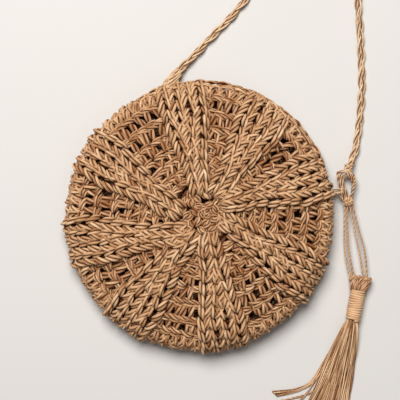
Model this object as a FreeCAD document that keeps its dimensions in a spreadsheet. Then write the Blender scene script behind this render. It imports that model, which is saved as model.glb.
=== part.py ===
import FreeCAD, Part
import math
import os
import Sketcher

# A round crocheted crossbody bag lying on its back, in millimetres.
# Z is up from the table, Y points at the mouth, and the origin is the middle of the back on the table.

Vector = FreeCAD.Vector
UP = Vector(0, 0, 1)
QUARTER_TURN = 90
HALF_TURN = 180
FULL_TURN = 360
SAME_POINT = 1e-6

# Driving dimensions, one row of the sheet each.
DIMENSIONS = {
    # Panels
    "bag_radius": 91,
    "panel_thickness": 4,
    "crown_height": 36,
    "crown_drop": 6.5,
    "front_rim_width": 17,
    "front_rim_height": 18,
    "back_rim_width": 13,
    "back_rim_height": 8.5,
    "seam_bulge": 1.6,
    # Mouth
    "fold_line": 56,
    "fold_gap": 0.3,
    "edging_radius": 2.2,
    "edging_bite": 0.2,
    "edging_first_angle": 49,
    "edging_last_angle": 122,
    # Raised chain columns of the front
    "rib_count": 8,
    "rib_first_angle": -3.9,
    "column_radius": 2.8,
    "column_spacing": 6.6,
    "column_end_margin": 3,
    "middle_column_start": 17,
    "side_column_start": 40,
    "hub_radius": 9,
    "hub_rise": 2.2,
    # Openwork between the ribs
    "row_edge_offset": 16,
    "row_spacing": 11,
    "opening_width": 5,
    "opening_height": 3.8,
    "opening_pitch": 8.5,
    "opening_margin": 1.5,
    "back_recess_height": 5.5,
    "back_recess_depth": 2.4,
    "back_groove_width": 1.6,
    # Strap
    "strap_diameter": 5,
    "strap_root_height": 7,
    "strap_knot_radius": 3.4,
    "strap_left_knot_offset": 3.6,
    "strap_left_knot_angle": 132.7,
    "swing_gap": 0.3,
    "anchor_radius": 1.2,
    "anchor_gap": 0.7,
    "anchor_splay_angle": 4.5,
    "coil_x": -26,
    "coil_y": 202,
    "coil_outer_radius": 34,
    "coil_half_turns_per_layer": 5,
    "coil_step": 6.5,
    "coil_layer_step": 6.3,
    "coil_start_angle": 209,
    "coil_lead_in": 20,
    "coil_lead_out": 12,
    "tie_band_width": 4,
    "tie_band_thickness": 0.8,
    "tie_band_gap": 0.1,
    # End loop of the strap and its tie to the rim
    "loop_offset": 10.7,
    "loop_place_angle": 37.6,
    "loop_angle": 114.6,
    "loop_bend_radius": 4,
    "loop_straight": 9.2,
    "loop_cord_radius": 1.5,
    "rim_tie_radius": 0.8,
    "rim_tie_bite": 0.05,
    # Tassel
    "hitch_wall": 1.2,
    "hitch_span_angle": 72,
    "tassel_cord_angle": -49.5,
    "tassel_cord_diameter": 1.5,
    "tassel_cord_spacing": 1.75,
    "tassel_cord_gap": 0.6,
    "tassel_x": 116.3,
    "tassel_y": 17.9,
    "tassel_height": 5.8,
    "tassel_angle": -71.5,
    "head_length": 10,
    "head_widest_at": 3,
    "head_top_half_width": 7.2,
    "head_top_half_height": 3.4,
    "head_half_width": 7.8,
    "head_half_height": 4.6,
    "neck_length": 20.5,
    "neck_top_radius": 4.3,
    "neck_bottom_radius": 3.95,
    "wrap_diameter": 1.15,
    "wrap_pitch": 1.6,
    "wrap_margin": 1.2,
    "wrap_bite": 0.1,
    "skirt_length": 76,
    "strand_diameter": 1.45,
    "strand_spacing": 1.6,
    "strand_seat": 1,
    "skirt_drop": 3.1,
    "skirt_lean": -4,
}

# Shares of the sizes above, and counts of flats.
SKIRT_WIDTH_SHARE = 4.0
SKIRT_HEIGHT_SHARE = 0.6
RIM_TIE_PLACE_SHARE = 0.25
ARC_RUN_SHARE = 0.45
CORD_FLAT_COUNT = 8
COIL_FLAT_COUNT = 6
WRAP_FLAT_COUNT = 4
HEAD_FLAT_COUNT = 16
LONGEST_SKIRT_ROW = 5
STRAY_LATTICE_PLACES = [(0, 0), (-1, 0)]
GAP_SAMPLE_COUNT = 48
OPENING_ROW_COUNT = 3
BACK_ROW_COUNT = 4

# Routes chosen by hand, without the ends that knots, coil and tassel fix.
STRAP_LEFT_ROUTE = [(-58.9, 87.5, 4.4), (-52.6, 112.0, 2.6), (-44.8, 141.0, 2.6)]
STRAP_RIGHT_ROUTE = [
    (24.0, 181.0, 3.2),
    (42.5, 153.0, 2.5),
    (57.8, 126.0, 2.5),
    (67.6, 103.0, 2.6),
    (72.4, 89.5, 4.2),
]
TASSEL_CORD_ROUTES = [
    [(91.6, 38.9, 6.6), (100.2, 24.5, 6.2), (110.6, 13.6, 6.0)],
    [(93.8, 39.6, 6.6), (102.6, 26.2, 6.2), (112.9, 14.8, 6.0)],
    [(97.8, 42.6, 6.6), (108.6, 31.2, 6.2), (118.9, 17.3, 6.0)],
    [(100.5, 44.0, 6.6), (112.2, 33.0, 6.2), (121.3, 18.1, 6.0)],
]
STRAY_ROUTES = [
    [(123.9, -28.1, 4.2), (124.8, -43.6, 0.9), (124.9, -61.5, 0.9), (115.7, -73.0, 0.9), (102.9, -81.3, 0.9)],
    [(125.2, -29.7, 2.0), (127.5, -43.8, 0.9), (129.5, -64.2, 0.9), (120.3, -75.5, 0.9), (107.5, -86.0, 0.9)],
]

document = FreeCAD.newDocument("circle_bag")
sheet = document.addObject("Spreadsheet::Sheet", "dimensions")
for row, (alias, value) in enumerate(DIMENSIONS.items(), start=1):
    sheet.set(f"A{row}", alias)
    sheet.set(f"B{row}", str(value))
    sheet.setAlias(f"B{row}", alias)
document.recompute()


def size(alias):
    return float(sheet.get(alias))


def bind(item, property_name, formula):
    """Tie one property of a document object to cells of the sheet."""
    words = formula.split(" ")
    named = [f"<<dimensions>>.{word}" if word in DIMENSIONS else word for word in words]
    item.setExpression(property_name, " ".join(named))


def polar(radius, degrees, height=0):
    return Vector(radius * math.cos(math.radians(degrees)), radius * math.sin(math.radians(degrees)), height)


def turned_placement(position, degrees):
    return FreeCAD.Placement(position, FreeCAD.Rotation(UP, degrees))


# Sketched bodies


def new_body(name):
    body = document.addObject("PartDesign::Body", name)
    body.Label = name
    return body


def new_sketch(body, name, role="XZ_Plane"):
    sketch = body.newObject("Sketcher::SketchObject", name)
    plane = next(item for item in body.Origin.OriginFeatures if item.Role == role)
    sketch.AttachmentSupport = (plane, [""])
    sketch.MapMode = "FlatFace"
    return sketch


def sketch_arc(centre, radius, first_degrees, last_degrees):
    circle = Part.Circle(Vector(*centre, 0), UP, radius)
    return Part.ArcOfCircle(circle, math.radians(first_degrees), math.radians(last_degrees))


def sketch_line(first, last):
    return Part.LineSegment(Vector(*first, 0), Vector(*last, 0))


def draw_closed_profile(sketch, edges):
    """Add the edges and make the ends that meet coincide."""
    for edge in edges:
        sketch.addGeometry(edge, False)
    ends = []
    for index, edge in enumerate(edges):
        ends.append((index, 1, edge.StartPoint))
        ends.append((index, 2, edge.EndPoint))
    for place, (index, end, point) in enumerate(ends):
        for other_index, other_end, other_point in ends[place + 1:]:
            if point.isEqual(other_point, SAME_POINT):
                sketch.addConstraint(Sketcher.Constraint("Coincident", index, end, other_index, other_end))


def drive_point(sketch, kind, geometry_index, end, formula, value):
    """Hold one end of an edge at a distance from the origin that the sheet gives."""
    constraint = sketch.addConstraint(Sketcher.Constraint(kind, -1, 1, geometry_index, end, value))
    bind(sketch, f"Constraints[{constraint}]", formula)


def revolve(body, sketch, name, angle=None):
    feature = body.newObject("PartDesign::Revolution", name)
    feature.Profile = sketch
    feature.ReferenceAxis = (sketch, ["V_Axis"])
    feature.Angle = FULL_TURN if angle is None else angle
    body.Tip = feature
    return feature


# Tubes along runs and arcs


def tangent_arc(corner, start, end):
    """The arc that touches the run start to corner at start and the run corner to end at end."""
    reach = (corner - start).Length
    chord_middle = (start + end) / 2
    half_turn = math.pi / 2 - (start - corner).getAngle(chord_middle - corner)
    radius = reach / math.tan(half_turn)
    rise = radius / math.cos(half_turn) - radius
    middle = corner + (chord_middle - corner).normalize() * rise
    return Part.Arc(start, middle, end), radius


def route_edges(points, name):
    """Straight runs joined by arcs as large as their runs allow, with the radii printed."""
    edges = []
    radii = []
    position = points[0]
    for before, corner, after in zip(points, points[1:], points[2:]):
        shorter = min((corner - before).Length, (after - corner).Length)
        reach = ARC_RUN_SHARE * shorter
        arc_start = corner + (before - corner).normalize() * reach
        arc_end = corner + (after - corner).normalize() * reach
        edges.append(Part.LineSegment(position, arc_start).toShape())
        arc, radius = tangent_arc(corner, arc_start, arc_end)
        edges.append(arc.toShape())
        radii.append(round(radius, 1))
        position = arc_end
    edges.append(Part.LineSegment(position, points[-1]).toShape())
    print(name, "bend radii", radii)
    return edges


def section_wire(position, direction, radius, flats=0):
    """A circle, or a polygon inside it, square to a direction."""
    circle = Part.Circle(position, direction, radius)
    if flats == 0:
        return Part.Wire([circle.toShape()])
    corners = [circle.value(2 * math.pi * corner / flats) for corner in range(flats)]
    return Part.makePolygon(corners + corners[:1])


def section_area(radius, flats=0):
    if flats == 0:
        return math.pi * radius**2
    return flats / 2 * radius**2 * math.sin(2 * math.pi / flats)


def tube(edges, radius, name, flats=0):
    """Sweep a round or flat-sided section along edges that meet tangentially."""
    path = Part.Wire(edges)
    first = edges[0]
    direction = first.tangentAt(first.FirstParameter)
    section = section_wire(first.valueAt(first.FirstParameter), direction, radius, flats)
    solid = path.makePipeShell([section], True, False)
    share = solid.Volume / (section_area(radius, flats) * path.Length)
    print(name, "length", round(path.Length, 1), "volume share", round(share, 4))
    return solid


def biarc(start, start_direction, end, end_direction):
    """Two tangent arcs between two points with given directions."""
    span = end - start
    both = start_direction + end_direction
    square = both.dot(both) - 4
    reach = (span.dot(both) - math.sqrt(span.dot(both) ** 2 - square * span.dot(span))) / square
    first_corner = start + start_direction * reach
    last_corner = end - end_direction * reach
    joint = (first_corner + last_corner) / 2
    first_arc, _ = tangent_arc(first_corner, start, joint)
    last_arc, _ = tangent_arc(last_corner, joint, end)
    return [first_arc.toShape(), last_arc.toShape()]


def wound_edges(points, directions, lead):
    """Biarcs of half a turn through the points, with a straight lead at each end."""
    edges = [Part.LineSegment(points[0] - directions[0] * lead, points[0]).toShape()]
    steps = zip(points, directions, points[1:], directions[1:])
    for start, start_direction, end, end_direction in steps:
        edges.extend(biarc(start, start_direction, end, end_direction))
    edges.append(Part.LineSegment(points[-1], points[-1] + directions[-1] * lead).toShape())
    return edges


def print_least_gap(edges, diameter, turn_length, name):
    """The smallest room between two turns of a wound tube, measured on points."""
    path = Part.Wire(edges)
    spacing = turn_length / GAP_SAMPLE_COUNT
    points = path.discretize(Distance=spacing)
    apart = GAP_SAMPLE_COUNT // 2
    gaps = []
    for index, point in enumerate(points):
        for other in points[index + apart:]:
            gaps.append(point.distanceToPoint(other))
    print(name, "least gap to itself", round(min(gaps) - diameter, 3))


def add_shape(name, shape, placement=None):
    feature = document.addObject("Part::Feature", name)
    feature.Label = name
    feature.Shape = shape
    if placement is not None:
        feature.Placement = placement
    return feature


# Panels

thickness = size("panel_thickness")
bag_radius = size("bag_radius")
crown_drop = size("crown_drop")
crown_edge = Vector(bag_radius - size("front_rim_width"), size("crown_height") - crown_drop, 0)
crown_radius = (crown_edge.x**2 + crown_drop**2) / (2 * crown_drop)
crown_centre = (0, size("crown_height") - crown_radius)
crown_slope = math.degrees(math.asin(crown_edge.x / crown_radius))
rim_chord = Vector(bag_radius, size("front_rim_height"), 0) - crown_edge
rim_inward = Vector(-math.sin(math.radians(crown_slope)), -math.cos(math.radians(crown_slope)), 0)
front_rim_radius = rim_chord.dot(rim_chord) / (2 * rim_chord.dot(rim_inward))
front_rim_centre = crown_edge + rim_inward * front_rim_radius
front_rim_turn = 2 * math.degrees(math.asin(rim_chord.Length / (2 * front_rim_radius)))
front_rim_slope = crown_slope + front_rim_turn
back_flat_radius = bag_radius - size("back_rim_width")
back_rim_radius = (size("back_rim_width") ** 2 + size("back_rim_height") ** 2) / (2 * size("back_rim_height"))
back_rim_slope = 2 * math.degrees(math.atan(size("back_rim_height") / size("back_rim_width")))


def on_arc(centre, radius, degrees):
    point = polar(radius, degrees)
    return (centre[0] + point.x, centre[1] + point.y)


rim_centre = (front_rim_centre.x, front_rim_centre.y)
front_end_angle = QUARTER_TURN - front_rim_slope
front_end_outer = on_arc(rim_centre, front_rim_radius, front_end_angle)
front_end_inner = on_arc(rim_centre, front_rim_radius - thickness, front_end_angle)
back_centre = (back_flat_radius, back_rim_radius)
back_end_angle = back_rim_slope - QUARTER_TURN
back_end_outer = on_arc(back_centre, back_rim_radius, back_end_angle)
back_end_inner = on_arc(back_centre, back_rim_radius - thickness, back_end_angle)


def make_front_dome():
    body = new_body("front_dome")
    sketch = new_sketch(body, "front_profile")
    crown_end = QUARTER_TURN - crown_slope
    top = (0, size("crown_height"))
    under_top = (0, size("crown_height") - thickness)
    edges = [
        sketch_arc(crown_centre, crown_radius, crown_end, QUARTER_TURN),
        sketch_arc(rim_centre, front_rim_radius, front_end_angle, crown_end),
        sketch_line(front_end_outer, front_end_inner),
        sketch_arc(rim_centre, front_rim_radius - thickness, front_end_angle, crown_end),
        sketch_arc(crown_centre, crown_radius - thickness, crown_end, QUARTER_TURN),
        sketch_line(under_top, top),
    ]
    draw_closed_profile(sketch, edges)
    drive_point(sketch, "DistanceY", 5, 2, "crown_height", top[1])
    drive_point(sketch, "DistanceX", 2, 1, "bag_radius", bag_radius)
    drive_point(sketch, "DistanceY", 2, 1, "front_rim_height", front_end_outer[1])
    revolve(body, sketch, "front_dome_revolve")
    return body


rib_count = int(size("rib_count"))
rib_angles = [size("rib_first_angle") + FULL_TURN * rib / rib_count for rib in range(rib_count)]
rib_width = 2 * (size("column_spacing") + size("column_radius"))


def row_radius(row):
    """Radius of a row of openwork, counted inwards from the rim."""
    return bag_radius - size("row_edge_offset") - row * size("row_spacing")


def make_openings():
    """Cutters for the open rows of each panel, clear of the ribs and of the fold."""
    width = size("opening_width")
    height = size("opening_height")
    margin = size("opening_margin")
    fold_clearance = math.hypot(width, height) / 2 + margin
    cutters = []
    for row in range(OPENING_ROW_COUNT):
        radius = row_radius(row)
        free_run = 2 * math.pi * radius / rib_count - rib_width - 2 * margin
        count = int(free_run / size("opening_pitch"))
        corner = Vector(radius - height / 2, -width / 2, 0)
        cutter = Part.makeBox(height, width, 2 * size("crown_height"), corner)
        for rib_angle in rib_angles:
            panel_angle = rib_angle + HALF_TURN / rib_count
            for index in range(count):
                run = (index - (count - 1) / 2) * size("opening_pitch")
                angle = panel_angle + math.degrees(run / radius)
                if abs(polar(radius, angle).y - size("fold_line")) > fold_clearance:
                    cutters.append(cutter.copy().rotated(Vector(), UP, angle))
    return add_shape("openings", Part.makeCompound(cutters))


def make_back_relief():
    """Cutters for the low rows between the back's ribs and for the grooves between its columns."""
    depth = size("back_recess_depth")
    half_height = size("back_recess_height") / 2
    rows = []
    for row in range(BACK_ROW_COUNT):
        outer = Part.makeCylinder(row_radius(row) + half_height, depth)
        rows.append(outer.cut(Part.makeCylinder(row_radius(row) - half_height, depth)))
    corner = Vector(0, -rib_width / 2, 0)
    bar = Part.makeBox(bag_radius, rib_width, depth, corner)
    bars = [bar.copy().rotated(Vector(), UP, angle) for angle in rib_angles]
    cutters = [row.cut(bars) for row in rows]
    groove_width = size("back_groove_width")
    groove_start = size("side_column_start")
    groove_length = back_flat_radius - groove_start
    for side in (-1, 1):
        corner = Vector(groove_start, side * size("column_spacing") / 2 - groove_width / 2, 0)
        groove = Part.makeBox(groove_length, groove_width, groove_width, corner)
        cutters += [groove.copy().rotated(Vector(), UP, angle) for angle in rib_angles]
    return add_shape("back_relief", Part.makeCompound(cutters))


def make_back_disc():
    body = new_body("back_disc")
    sketch = new_sketch(body, "back_profile")
    flat_end = (back_flat_radius, 0)
    inner_flat_end = (back_flat_radius, thickness)
    edges = [
        sketch_line((0, 0), flat_end),
        sketch_arc(back_centre, back_rim_radius, -QUARTER_TURN, back_end_angle),
        sketch_line(back_end_outer, back_end_inner),
        sketch_arc(back_centre, back_rim_radius - thickness, -QUARTER_TURN, back_end_angle),
        sketch_line(inner_flat_end, (0, thickness)),
        sketch_line((0, thickness), (0, 0)),
    ]
    draw_closed_profile(sketch, edges)
    drive_point(sketch, "DistanceX", 0, 2, "bag_radius - back_rim_width", flat_end[0])
    drive_point(sketch, "DistanceX", 2, 1, "bag_radius", bag_radius)
    drive_point(sketch, "DistanceY", 2, 1, "back_rim_height", back_end_outer[1])
    revolve(body, sketch, "back_disc_revolve")
    return body


def make_rim_seam():
    """The joining round, from one end of the mouth to the other."""
    bulge = size("seam_bulge")
    half_height = (front_end_outer[1] - back_end_outer[1]) / 2
    arc_radius = (half_height**2 + bulge**2) / (2 * bulge)
    arc_centre = (bag_radius + bulge - arc_radius, back_end_outer[1] + half_height)
    half_angle = math.degrees(math.asin(half_height / arc_radius))
    body = new_body("rim_seam")
    sketch = new_sketch(body, "seam_profile")
    edges = [
        sketch_arc(arc_centre, arc_radius, -half_angle, half_angle),
        sketch_line(front_end_outer, front_end_inner),
        sketch_line(front_end_inner, back_end_inner),
        sketch_line(back_end_inner, back_end_outer),
    ]
    draw_closed_profile(sketch, edges)
    drive_point(sketch, "DistanceY", 1, 1, "front_rim_height", front_end_outer[1])
    drive_point(sketch, "DistanceY", 3, 2, "back_rim_height", back_end_outer[1])
    reach = size("fold_line") - size("fold_gap")
    mouth_end_angle = math.degrees(math.asin(reach / (bag_radius + bulge)))
    revolve(body, sketch, "seam_revolve", HALF_TURN + 2 * mouth_end_angle)
    body.Placement = turned_placement(Vector(), HALF_TURN - mouth_end_angle)
    return body


def make_edging(name, end_outer, outward_angle):
    """A round cord along one edge of the mouth, bedded a little in the panel."""
    reach = size("edging_radius") - size("edging_bite")
    centre = on_arc(end_outer, reach, outward_angle)
    body = new_body(name)
    sketch = new_sketch(body, f"{name}_profile")
    angles = [FULL_TURN * flat / CORD_FLAT_COUNT for flat in range(CORD_FLAT_COUNT)]
    corners = [on_arc(centre, size("edging_radius"), angle) for angle in angles]
    draw_closed_profile(sketch, [sketch_line(*pair) for pair in zip(corners, corners[1:] + corners[:1])])
    feature = revolve(body, sketch, f"{name}_revolve")
    bind(feature, "Angle", "edging_last_angle - edging_first_angle")
    body.Placement = turned_placement(Vector(), size("edging_first_angle"))
    return body


def column_path(offset, start_radius):
    """Crown arc and rim arc of one column, beside the rib's own line."""
    def place(centre, radius, degrees):
        point = on_arc(centre, radius, degrees)
        return Vector(point[0], offset, point[1])

    crown_start = math.degrees(math.acos(start_radius / crown_radius))
    crown_end = QUARTER_TURN - crown_slope
    end_radius = bag_radius - size("column_end_margin")
    rim_end = math.degrees(math.acos((end_radius - rim_centre[0]) / front_rim_radius))
    crown_middle = (crown_start + crown_end) / 2
    rim_middle = (crown_end + rim_end) / 2
    crown_angles = (crown_start, crown_middle, crown_end)
    rim_angles = (crown_end, rim_middle, rim_end)
    crown_points = [place(crown_centre, crown_radius, angle) for angle in crown_angles]
    rim_points = [place(rim_centre, front_rim_radius, angle) for angle in rim_angles]
    return [Part.Arc(*crown_points).toShape(), Part.Arc(*rim_points).toShape()]


def make_rib_columns():
    """Three raised chain columns for each rib: one from the hub and one on each side from further out."""
    spacing = size("column_spacing")
    plan = [
        (0, size("middle_column_start")),
        (-spacing, size("side_column_start")),
        (spacing, size("side_column_start")),
    ]
    columns = []
    for offset, start_radius in plan:
        path = column_path(offset, start_radius)
        columns.append(tube(path, size("column_radius"), "column", CORD_FLAT_COUNT))
    copies = []
    for angle in rib_angles:
        for column in columns:
            copies.append(column.copy().rotated(Vector(), UP, angle))
    return add_shape("rib_columns", Part.makeCompound(copies))


def make_hub():
    """The low button of loops that the front is worked from."""
    hub = document.addObject("Part::Cone", "hub_button")
    bind(hub, "Radius1", "hub_radius")
    bind(hub, "Radius2", "hub_radius - hub_rise")
    bind(hub, "Height", "panel_thickness + hub_rise")
    bind(hub, "Placement.Base.z", "crown_height - panel_thickness")
    return hub


def make_fold_box(name, low_y_formula, length_formula):
    box = document.addObject("Part::Box", name)
    bind(box, "Length", "2 * bag_radius")
    bind(box, "Width", length_formula)
    bind(box, "Height", "2 * crown_height")
    bind(box, "Placement.Base.x", "-1 * bag_radius")
    bind(box, "Placement.Base.y", low_y_formula)
    return box


def make_common(name, first, second):
    common = document.addObject("Part::Common", name)
    common.Label = name
    common.Base = first
    common.Tool = second
    return common


def make_cut(name, base, tool):
    cut = document.addObject("Part::Cut", name)
    cut.Label = name
    cut.Base = base
    cut.Tool = tool
    return cut


openwork = make_cut("front_openwork", make_front_dome(), make_openings())
front_disc = document.addObject("Part::MultiFuse", "front_disc")
front_disc.Shapes = [openwork, make_rib_columns(), make_hub()]
body_box = make_fold_box("body_side", "-1 * bag_radius", "bag_radius + fold_line - fold_gap / 2")
mouth_box = make_fold_box("mouth_side", "fold_line + fold_gap / 2", "bag_radius")
nodes = [
    make_common("front_panel", front_disc, body_box),
    make_common("front_mouth_panel", front_disc, mouth_box),
    make_cut("back_panel", make_back_disc(), make_back_relief()),
    make_rim_seam(),
    make_edging("front_mouth_edging", front_end_outer, front_end_angle),
    make_edging("back_mouth_edging", back_end_outer, back_end_angle),
]

# Strap end loop, its tie and the sewn left end

root_height = size("strap_root_height")
loop_centre = polar(bag_radius + size("loop_offset"), size("loop_place_angle"), root_height)
loop_direction = polar(1, size("loop_angle"))
loop_side = polar(1, size("loop_angle") + QUARTER_TURN)
loop_far_centre = loop_centre + loop_direction * size("loop_straight")
knot_reach = (
    size("loop_bend_radius") + size("loop_cord_radius") + size("swing_gap") + size("strap_knot_radius")
)
right_knot = loop_far_centre + loop_direction * knot_reach
left_knot_reach = bag_radius + size("strap_left_knot_offset")
left_knot = polar(left_knot_reach, size("strap_left_knot_angle"), root_height)
swing_direction = (right_knot - left_knot).normalize()


def make_strap_end_loop():
    """The elongated eye that ends the strap, as one closed round cord."""
    bend = size("loop_bend_radius")
    near_left = loop_centre + loop_side * bend
    near_right = loop_centre - loop_side * bend
    far_left = loop_far_centre + loop_side * bend
    far_right = loop_far_centre - loop_side * bend
    near_tip = loop_centre - loop_direction * bend
    far_tip = loop_far_centre + loop_direction * bend
    edges = [
        Part.LineSegment(near_left, far_left).toShape(),
        Part.Arc(far_left, far_tip, far_right).toShape(),
        Part.LineSegment(far_right, near_right).toShape(),
        Part.Arc(near_right, near_tip, near_left).toShape(),
    ]
    section = Part.Face(section_wire(near_left, loop_direction, size("loop_cord_radius"), CORD_FLAT_COUNT))
    return add_shape("strap_end_loop", Part.Wire(edges).makePipe(section))


def make_rim_tie():
    """Two strands from the back's rim round the near leg of the end loop."""
    leg_point = loop_centre + loop_side * size("loop_bend_radius")
    leg_point = leg_point + loop_direction * (RIM_TIE_PLACE_SHARE * size("loop_straight"))
    outward = Vector(leg_point.x, leg_point.y, 0).normalize()
    wrap = size("loop_cord_radius") + size("rim_tie_radius") - size("rim_tie_bite")
    rim_reach = Vector(leg_point.x, leg_point.y, 0).Length - (bag_radius - thickness)
    above = leg_point + UP * wrap
    below = leg_point - UP * wrap
    edges = [
        Part.LineSegment(above - outward * rim_reach, above).toShape(),
        Part.Arc(above, leg_point + outward * wrap, below).toShape(),
        Part.LineSegment(below, below - outward * rim_reach).toShape(),
    ]
    return add_shape("rim_tie", tube(edges, size("rim_tie_radius"), "rim_tie", COIL_FLAT_COUNT))


def make_left_anchor():
    """Two sewn strands that hold the knot of the strap's left end between them."""
    radius = size("anchor_radius")
    side_reach = size("strap_knot_radius") + size("anchor_gap") + radius
    fingers = []
    for side in (-1, 1):
        tip = left_knot + swing_direction * (side * side_reach)
        bearing = math.degrees(math.atan2(tip.y, tip.x)) - side * size("anchor_splay_angle")
        root = polar(bag_radius - thickness / 2, bearing, size("back_rim_height"))
        span = tip - root
        fingers.append(Part.makeCylinder(radius, span.Length, root, span))
    return add_shape("strap_left_anchor", Part.makeCompound(fingers))


def make_knot(name, centre):
    """A round knot, turned about the line that the strap swings on."""
    radius = size("strap_knot_radius")
    half_outline = section_wire(centre, UP.cross(swing_direction), radius, 2 * CORD_FLAT_COUNT)
    corners = [vertex.Point for vertex in half_outline.OrderedVertexes]
    upper = [corner for corner in corners if corner.z > centre.z - SAME_POINT]
    upper.sort(key=lambda corner: (corner - centre).dot(swing_direction))
    outline = Part.Face(Part.makePolygon(upper + upper[:1]))
    return add_shape(name, outline.revolve(centre, swing_direction, FULL_TURN))


nodes.append(make_strap_end_loop())
nodes.append(make_rim_tie())
nodes.append(make_left_anchor())
nodes.append(make_knot("strap_left_knot", left_knot))
nodes.append(make_knot("strap_right_knot", right_knot))

# Strap runs and the put-away coil

strap_diameter = size("strap_diameter")
coil_base = size("tie_band_thickness") + size("tie_band_gap") + strap_diameter / 2
coil_centre = Vector(size("coil_x"), size("coil_y"), coil_base)


def coil_points():
    """Half-turn points that spiral in on the lower layer and out on the upper one, going clockwise."""
    layer_steps = int(size("coil_half_turns_per_layer"))
    points = []
    directions = []
    for step in range(2 * layer_steps + 2):
        inward_steps = min(step, 2 * layer_steps + 1 - step)
        radius = size("coil_outer_radius") - inward_steps * size("coil_step") / 2
        height = 0 if step <= layer_steps else size("coil_layer_step")
        angle = size("coil_start_angle") - HALF_TURN * step
        points.append(coil_centre + polar(radius, angle, height))
        directions.append(polar(1, angle - QUARTER_TURN))
    return points, directions


coil_stops, coil_directions = coil_points()
coil_start = coil_stops[0] - coil_directions[0] * strap_diameter
coil_end = coil_stops[-1] + coil_directions[-1] * strap_diameter


def make_coil():
    edges = wound_edges(coil_stops, coil_directions, strap_diameter)
    turn_length = 2 * math.pi * size("coil_outer_radius")
    print_least_gap(edges, strap_diameter, turn_length, "strap_coil")
    return add_shape("strap_coil", tube(edges, strap_diameter / 2, "strap_coil", COIL_FLAT_COUNT))


def make_coil_tie():
    """A flat band round the coil's bundle, at the side away from the bag."""
    inner_steps = size("coil_half_turns_per_layer") * size("coil_step") / 2
    inner_edge = size("coil_outer_radius") - inner_steps - strap_diameter / 2
    outer_edge = size("coil_outer_radius") + strap_diameter / 2
    band = size("tie_band_thickness")
    gap = size("tie_band_gap")
    top = band + 2 * gap + strap_diameter + size("coil_layer_step")
    body = new_body("strap_coil_tie")
    sketch = new_sketch(body, "tie_profile")
    for margin in (gap, gap + band):
        low = (inner_edge - margin, band + gap - margin)
        high = (outer_edge + margin, top - gap + margin)
        corners = [low, (high[0], low[1]), high, (low[0], high[1])]
        first_index = sketch.GeometryCount
        for first, last in zip(corners, corners[1:] + corners[:1]):
            sketch.addGeometry(sketch_line(first, last), False)
        for side in range(4):
            following = first_index + (side + 1) % 4
            sketch.addConstraint(Sketcher.Constraint("Coincident", first_index + side, 2, following, 1))
    pad = body.newObject("PartDesign::Pad", "tie_pad")
    pad.Profile = sketch
    pad.Midplane = True
    bind(pad, "Length", "tie_band_width")
    body.Tip = pad
    place = Vector(coil_centre.x, coil_centre.y, 0)
    body.Placement = turned_placement(place, size("coil_start_angle") - QUARTER_TURN)
    return body


def make_strap_run(name, points):
    edges = route_edges(points, name)
    return add_shape(name, tube(edges, strap_diameter / 2, name, CORD_FLAT_COUNT))


left_lead = coil_start - coil_directions[0] * size("coil_lead_in")
right_lead = coil_end + coil_directions[-1] * size("coil_lead_out")
left_points = [left_knot] + [Vector(*point) for point in STRAP_LEFT_ROUTE] + [left_lead, coil_start]
right_points = [coil_end, right_lead] + [Vector(*point) for point in STRAP_RIGHT_ROUTE] + [right_knot]
nodes.append(make_strap_run("strap_left_run", left_points))
nodes.append(make_coil())
nodes.append(make_coil_tie())
nodes.append(make_strap_run("strap_right_run", right_points))

# Tassel hitch and cords

cord_diameter = size("tassel_cord_diameter")
cord_direction = polar(1, size("tassel_cord_angle"))
cord_side = polar(1, size("tassel_cord_angle") + QUARTER_TURN)
hitch_bore = size("loop_cord_radius") + size("swing_gap")
hitch_radius = hitch_bore + size("hitch_wall")
hitch_centre = loop_centre + cord_direction * size("loop_bend_radius")


def make_hitch():
    """The lark's head, a sleeve that slides round the bend of the end loop."""
    body = new_body("tassel_hitch")
    sketch = new_sketch(body, "hitch_profile")
    for radius in (hitch_radius, hitch_bore):
        sketch.addGeometry(Part.Circle(Vector(size("loop_bend_radius"), 0, 0), UP, radius), False)
    feature = revolve(body, sketch, "hitch_revolve")
    bind(feature, "Angle", "hitch_span_angle")
    body.Placement = turned_placement(loop_centre, size("tassel_cord_angle") - size("hitch_span_angle") / 2)
    return body


def make_tassel_cords():
    start = hitch_centre + cord_direction * (hitch_radius + size("tassel_cord_gap"))
    count = len(TASSEL_CORD_ROUTES)
    cords = []
    for index, route in enumerate(TASSEL_CORD_ROUTES):
        offset = (index - (count - 1) / 2) * size("tassel_cord_spacing")
        points = [start + cord_side * offset] + [Vector(*point) for point in route]
        name = f"tassel_cord_{index + 1}"
        edges = route_edges(points, name)
        cords.append(add_shape(name, tube(edges, cord_diameter / 2, name, COIL_FLAT_COUNT)))
    return cords


nodes.append(make_hitch())
nodes.extend(make_tassel_cords())

# Tassel head, neck and skirt, drawn along X and laid in place

tassel_place = turned_placement(
    Vector(size("tassel_x"), size("tassel_y"), size("tassel_height")), size("tassel_angle")
)
along_tassel = FreeCAD.Rotation(Vector(0, 1, 0), UP, Vector(1, 0, 0), "ZXY")
neck_start = size("head_length")
neck_end = neck_start + size("neck_length")


def section_place(distance):
    return tassel_place.multiply(FreeCAD.Placement(Vector(distance, 0, 0), along_tassel))


def head_section(distance, half_width, half_height):
    """A flat-sided oval across the tassel."""
    corners = []
    for flat in range(HEAD_FLAT_COUNT):
        angle = 2 * math.pi * flat / HEAD_FLAT_COUNT
        corners.append(Vector(distance, half_width * math.cos(angle), half_height * math.sin(angle)))
    return Part.makePolygon(corners + corners[:1])


def make_head():
    """The gathered loops at the top of the tassel, widest near their bends."""
    sections = [
        head_section(0, size("head_top_half_width"), size("head_top_half_height")),
        head_section(size("head_widest_at"), size("head_half_width"), size("head_half_height")),
        head_section(neck_start, size("neck_top_radius"), size("neck_top_radius")),
    ]
    return add_shape("tassel_head", Part.makeLoft(sections, True, True), tassel_place)


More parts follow.
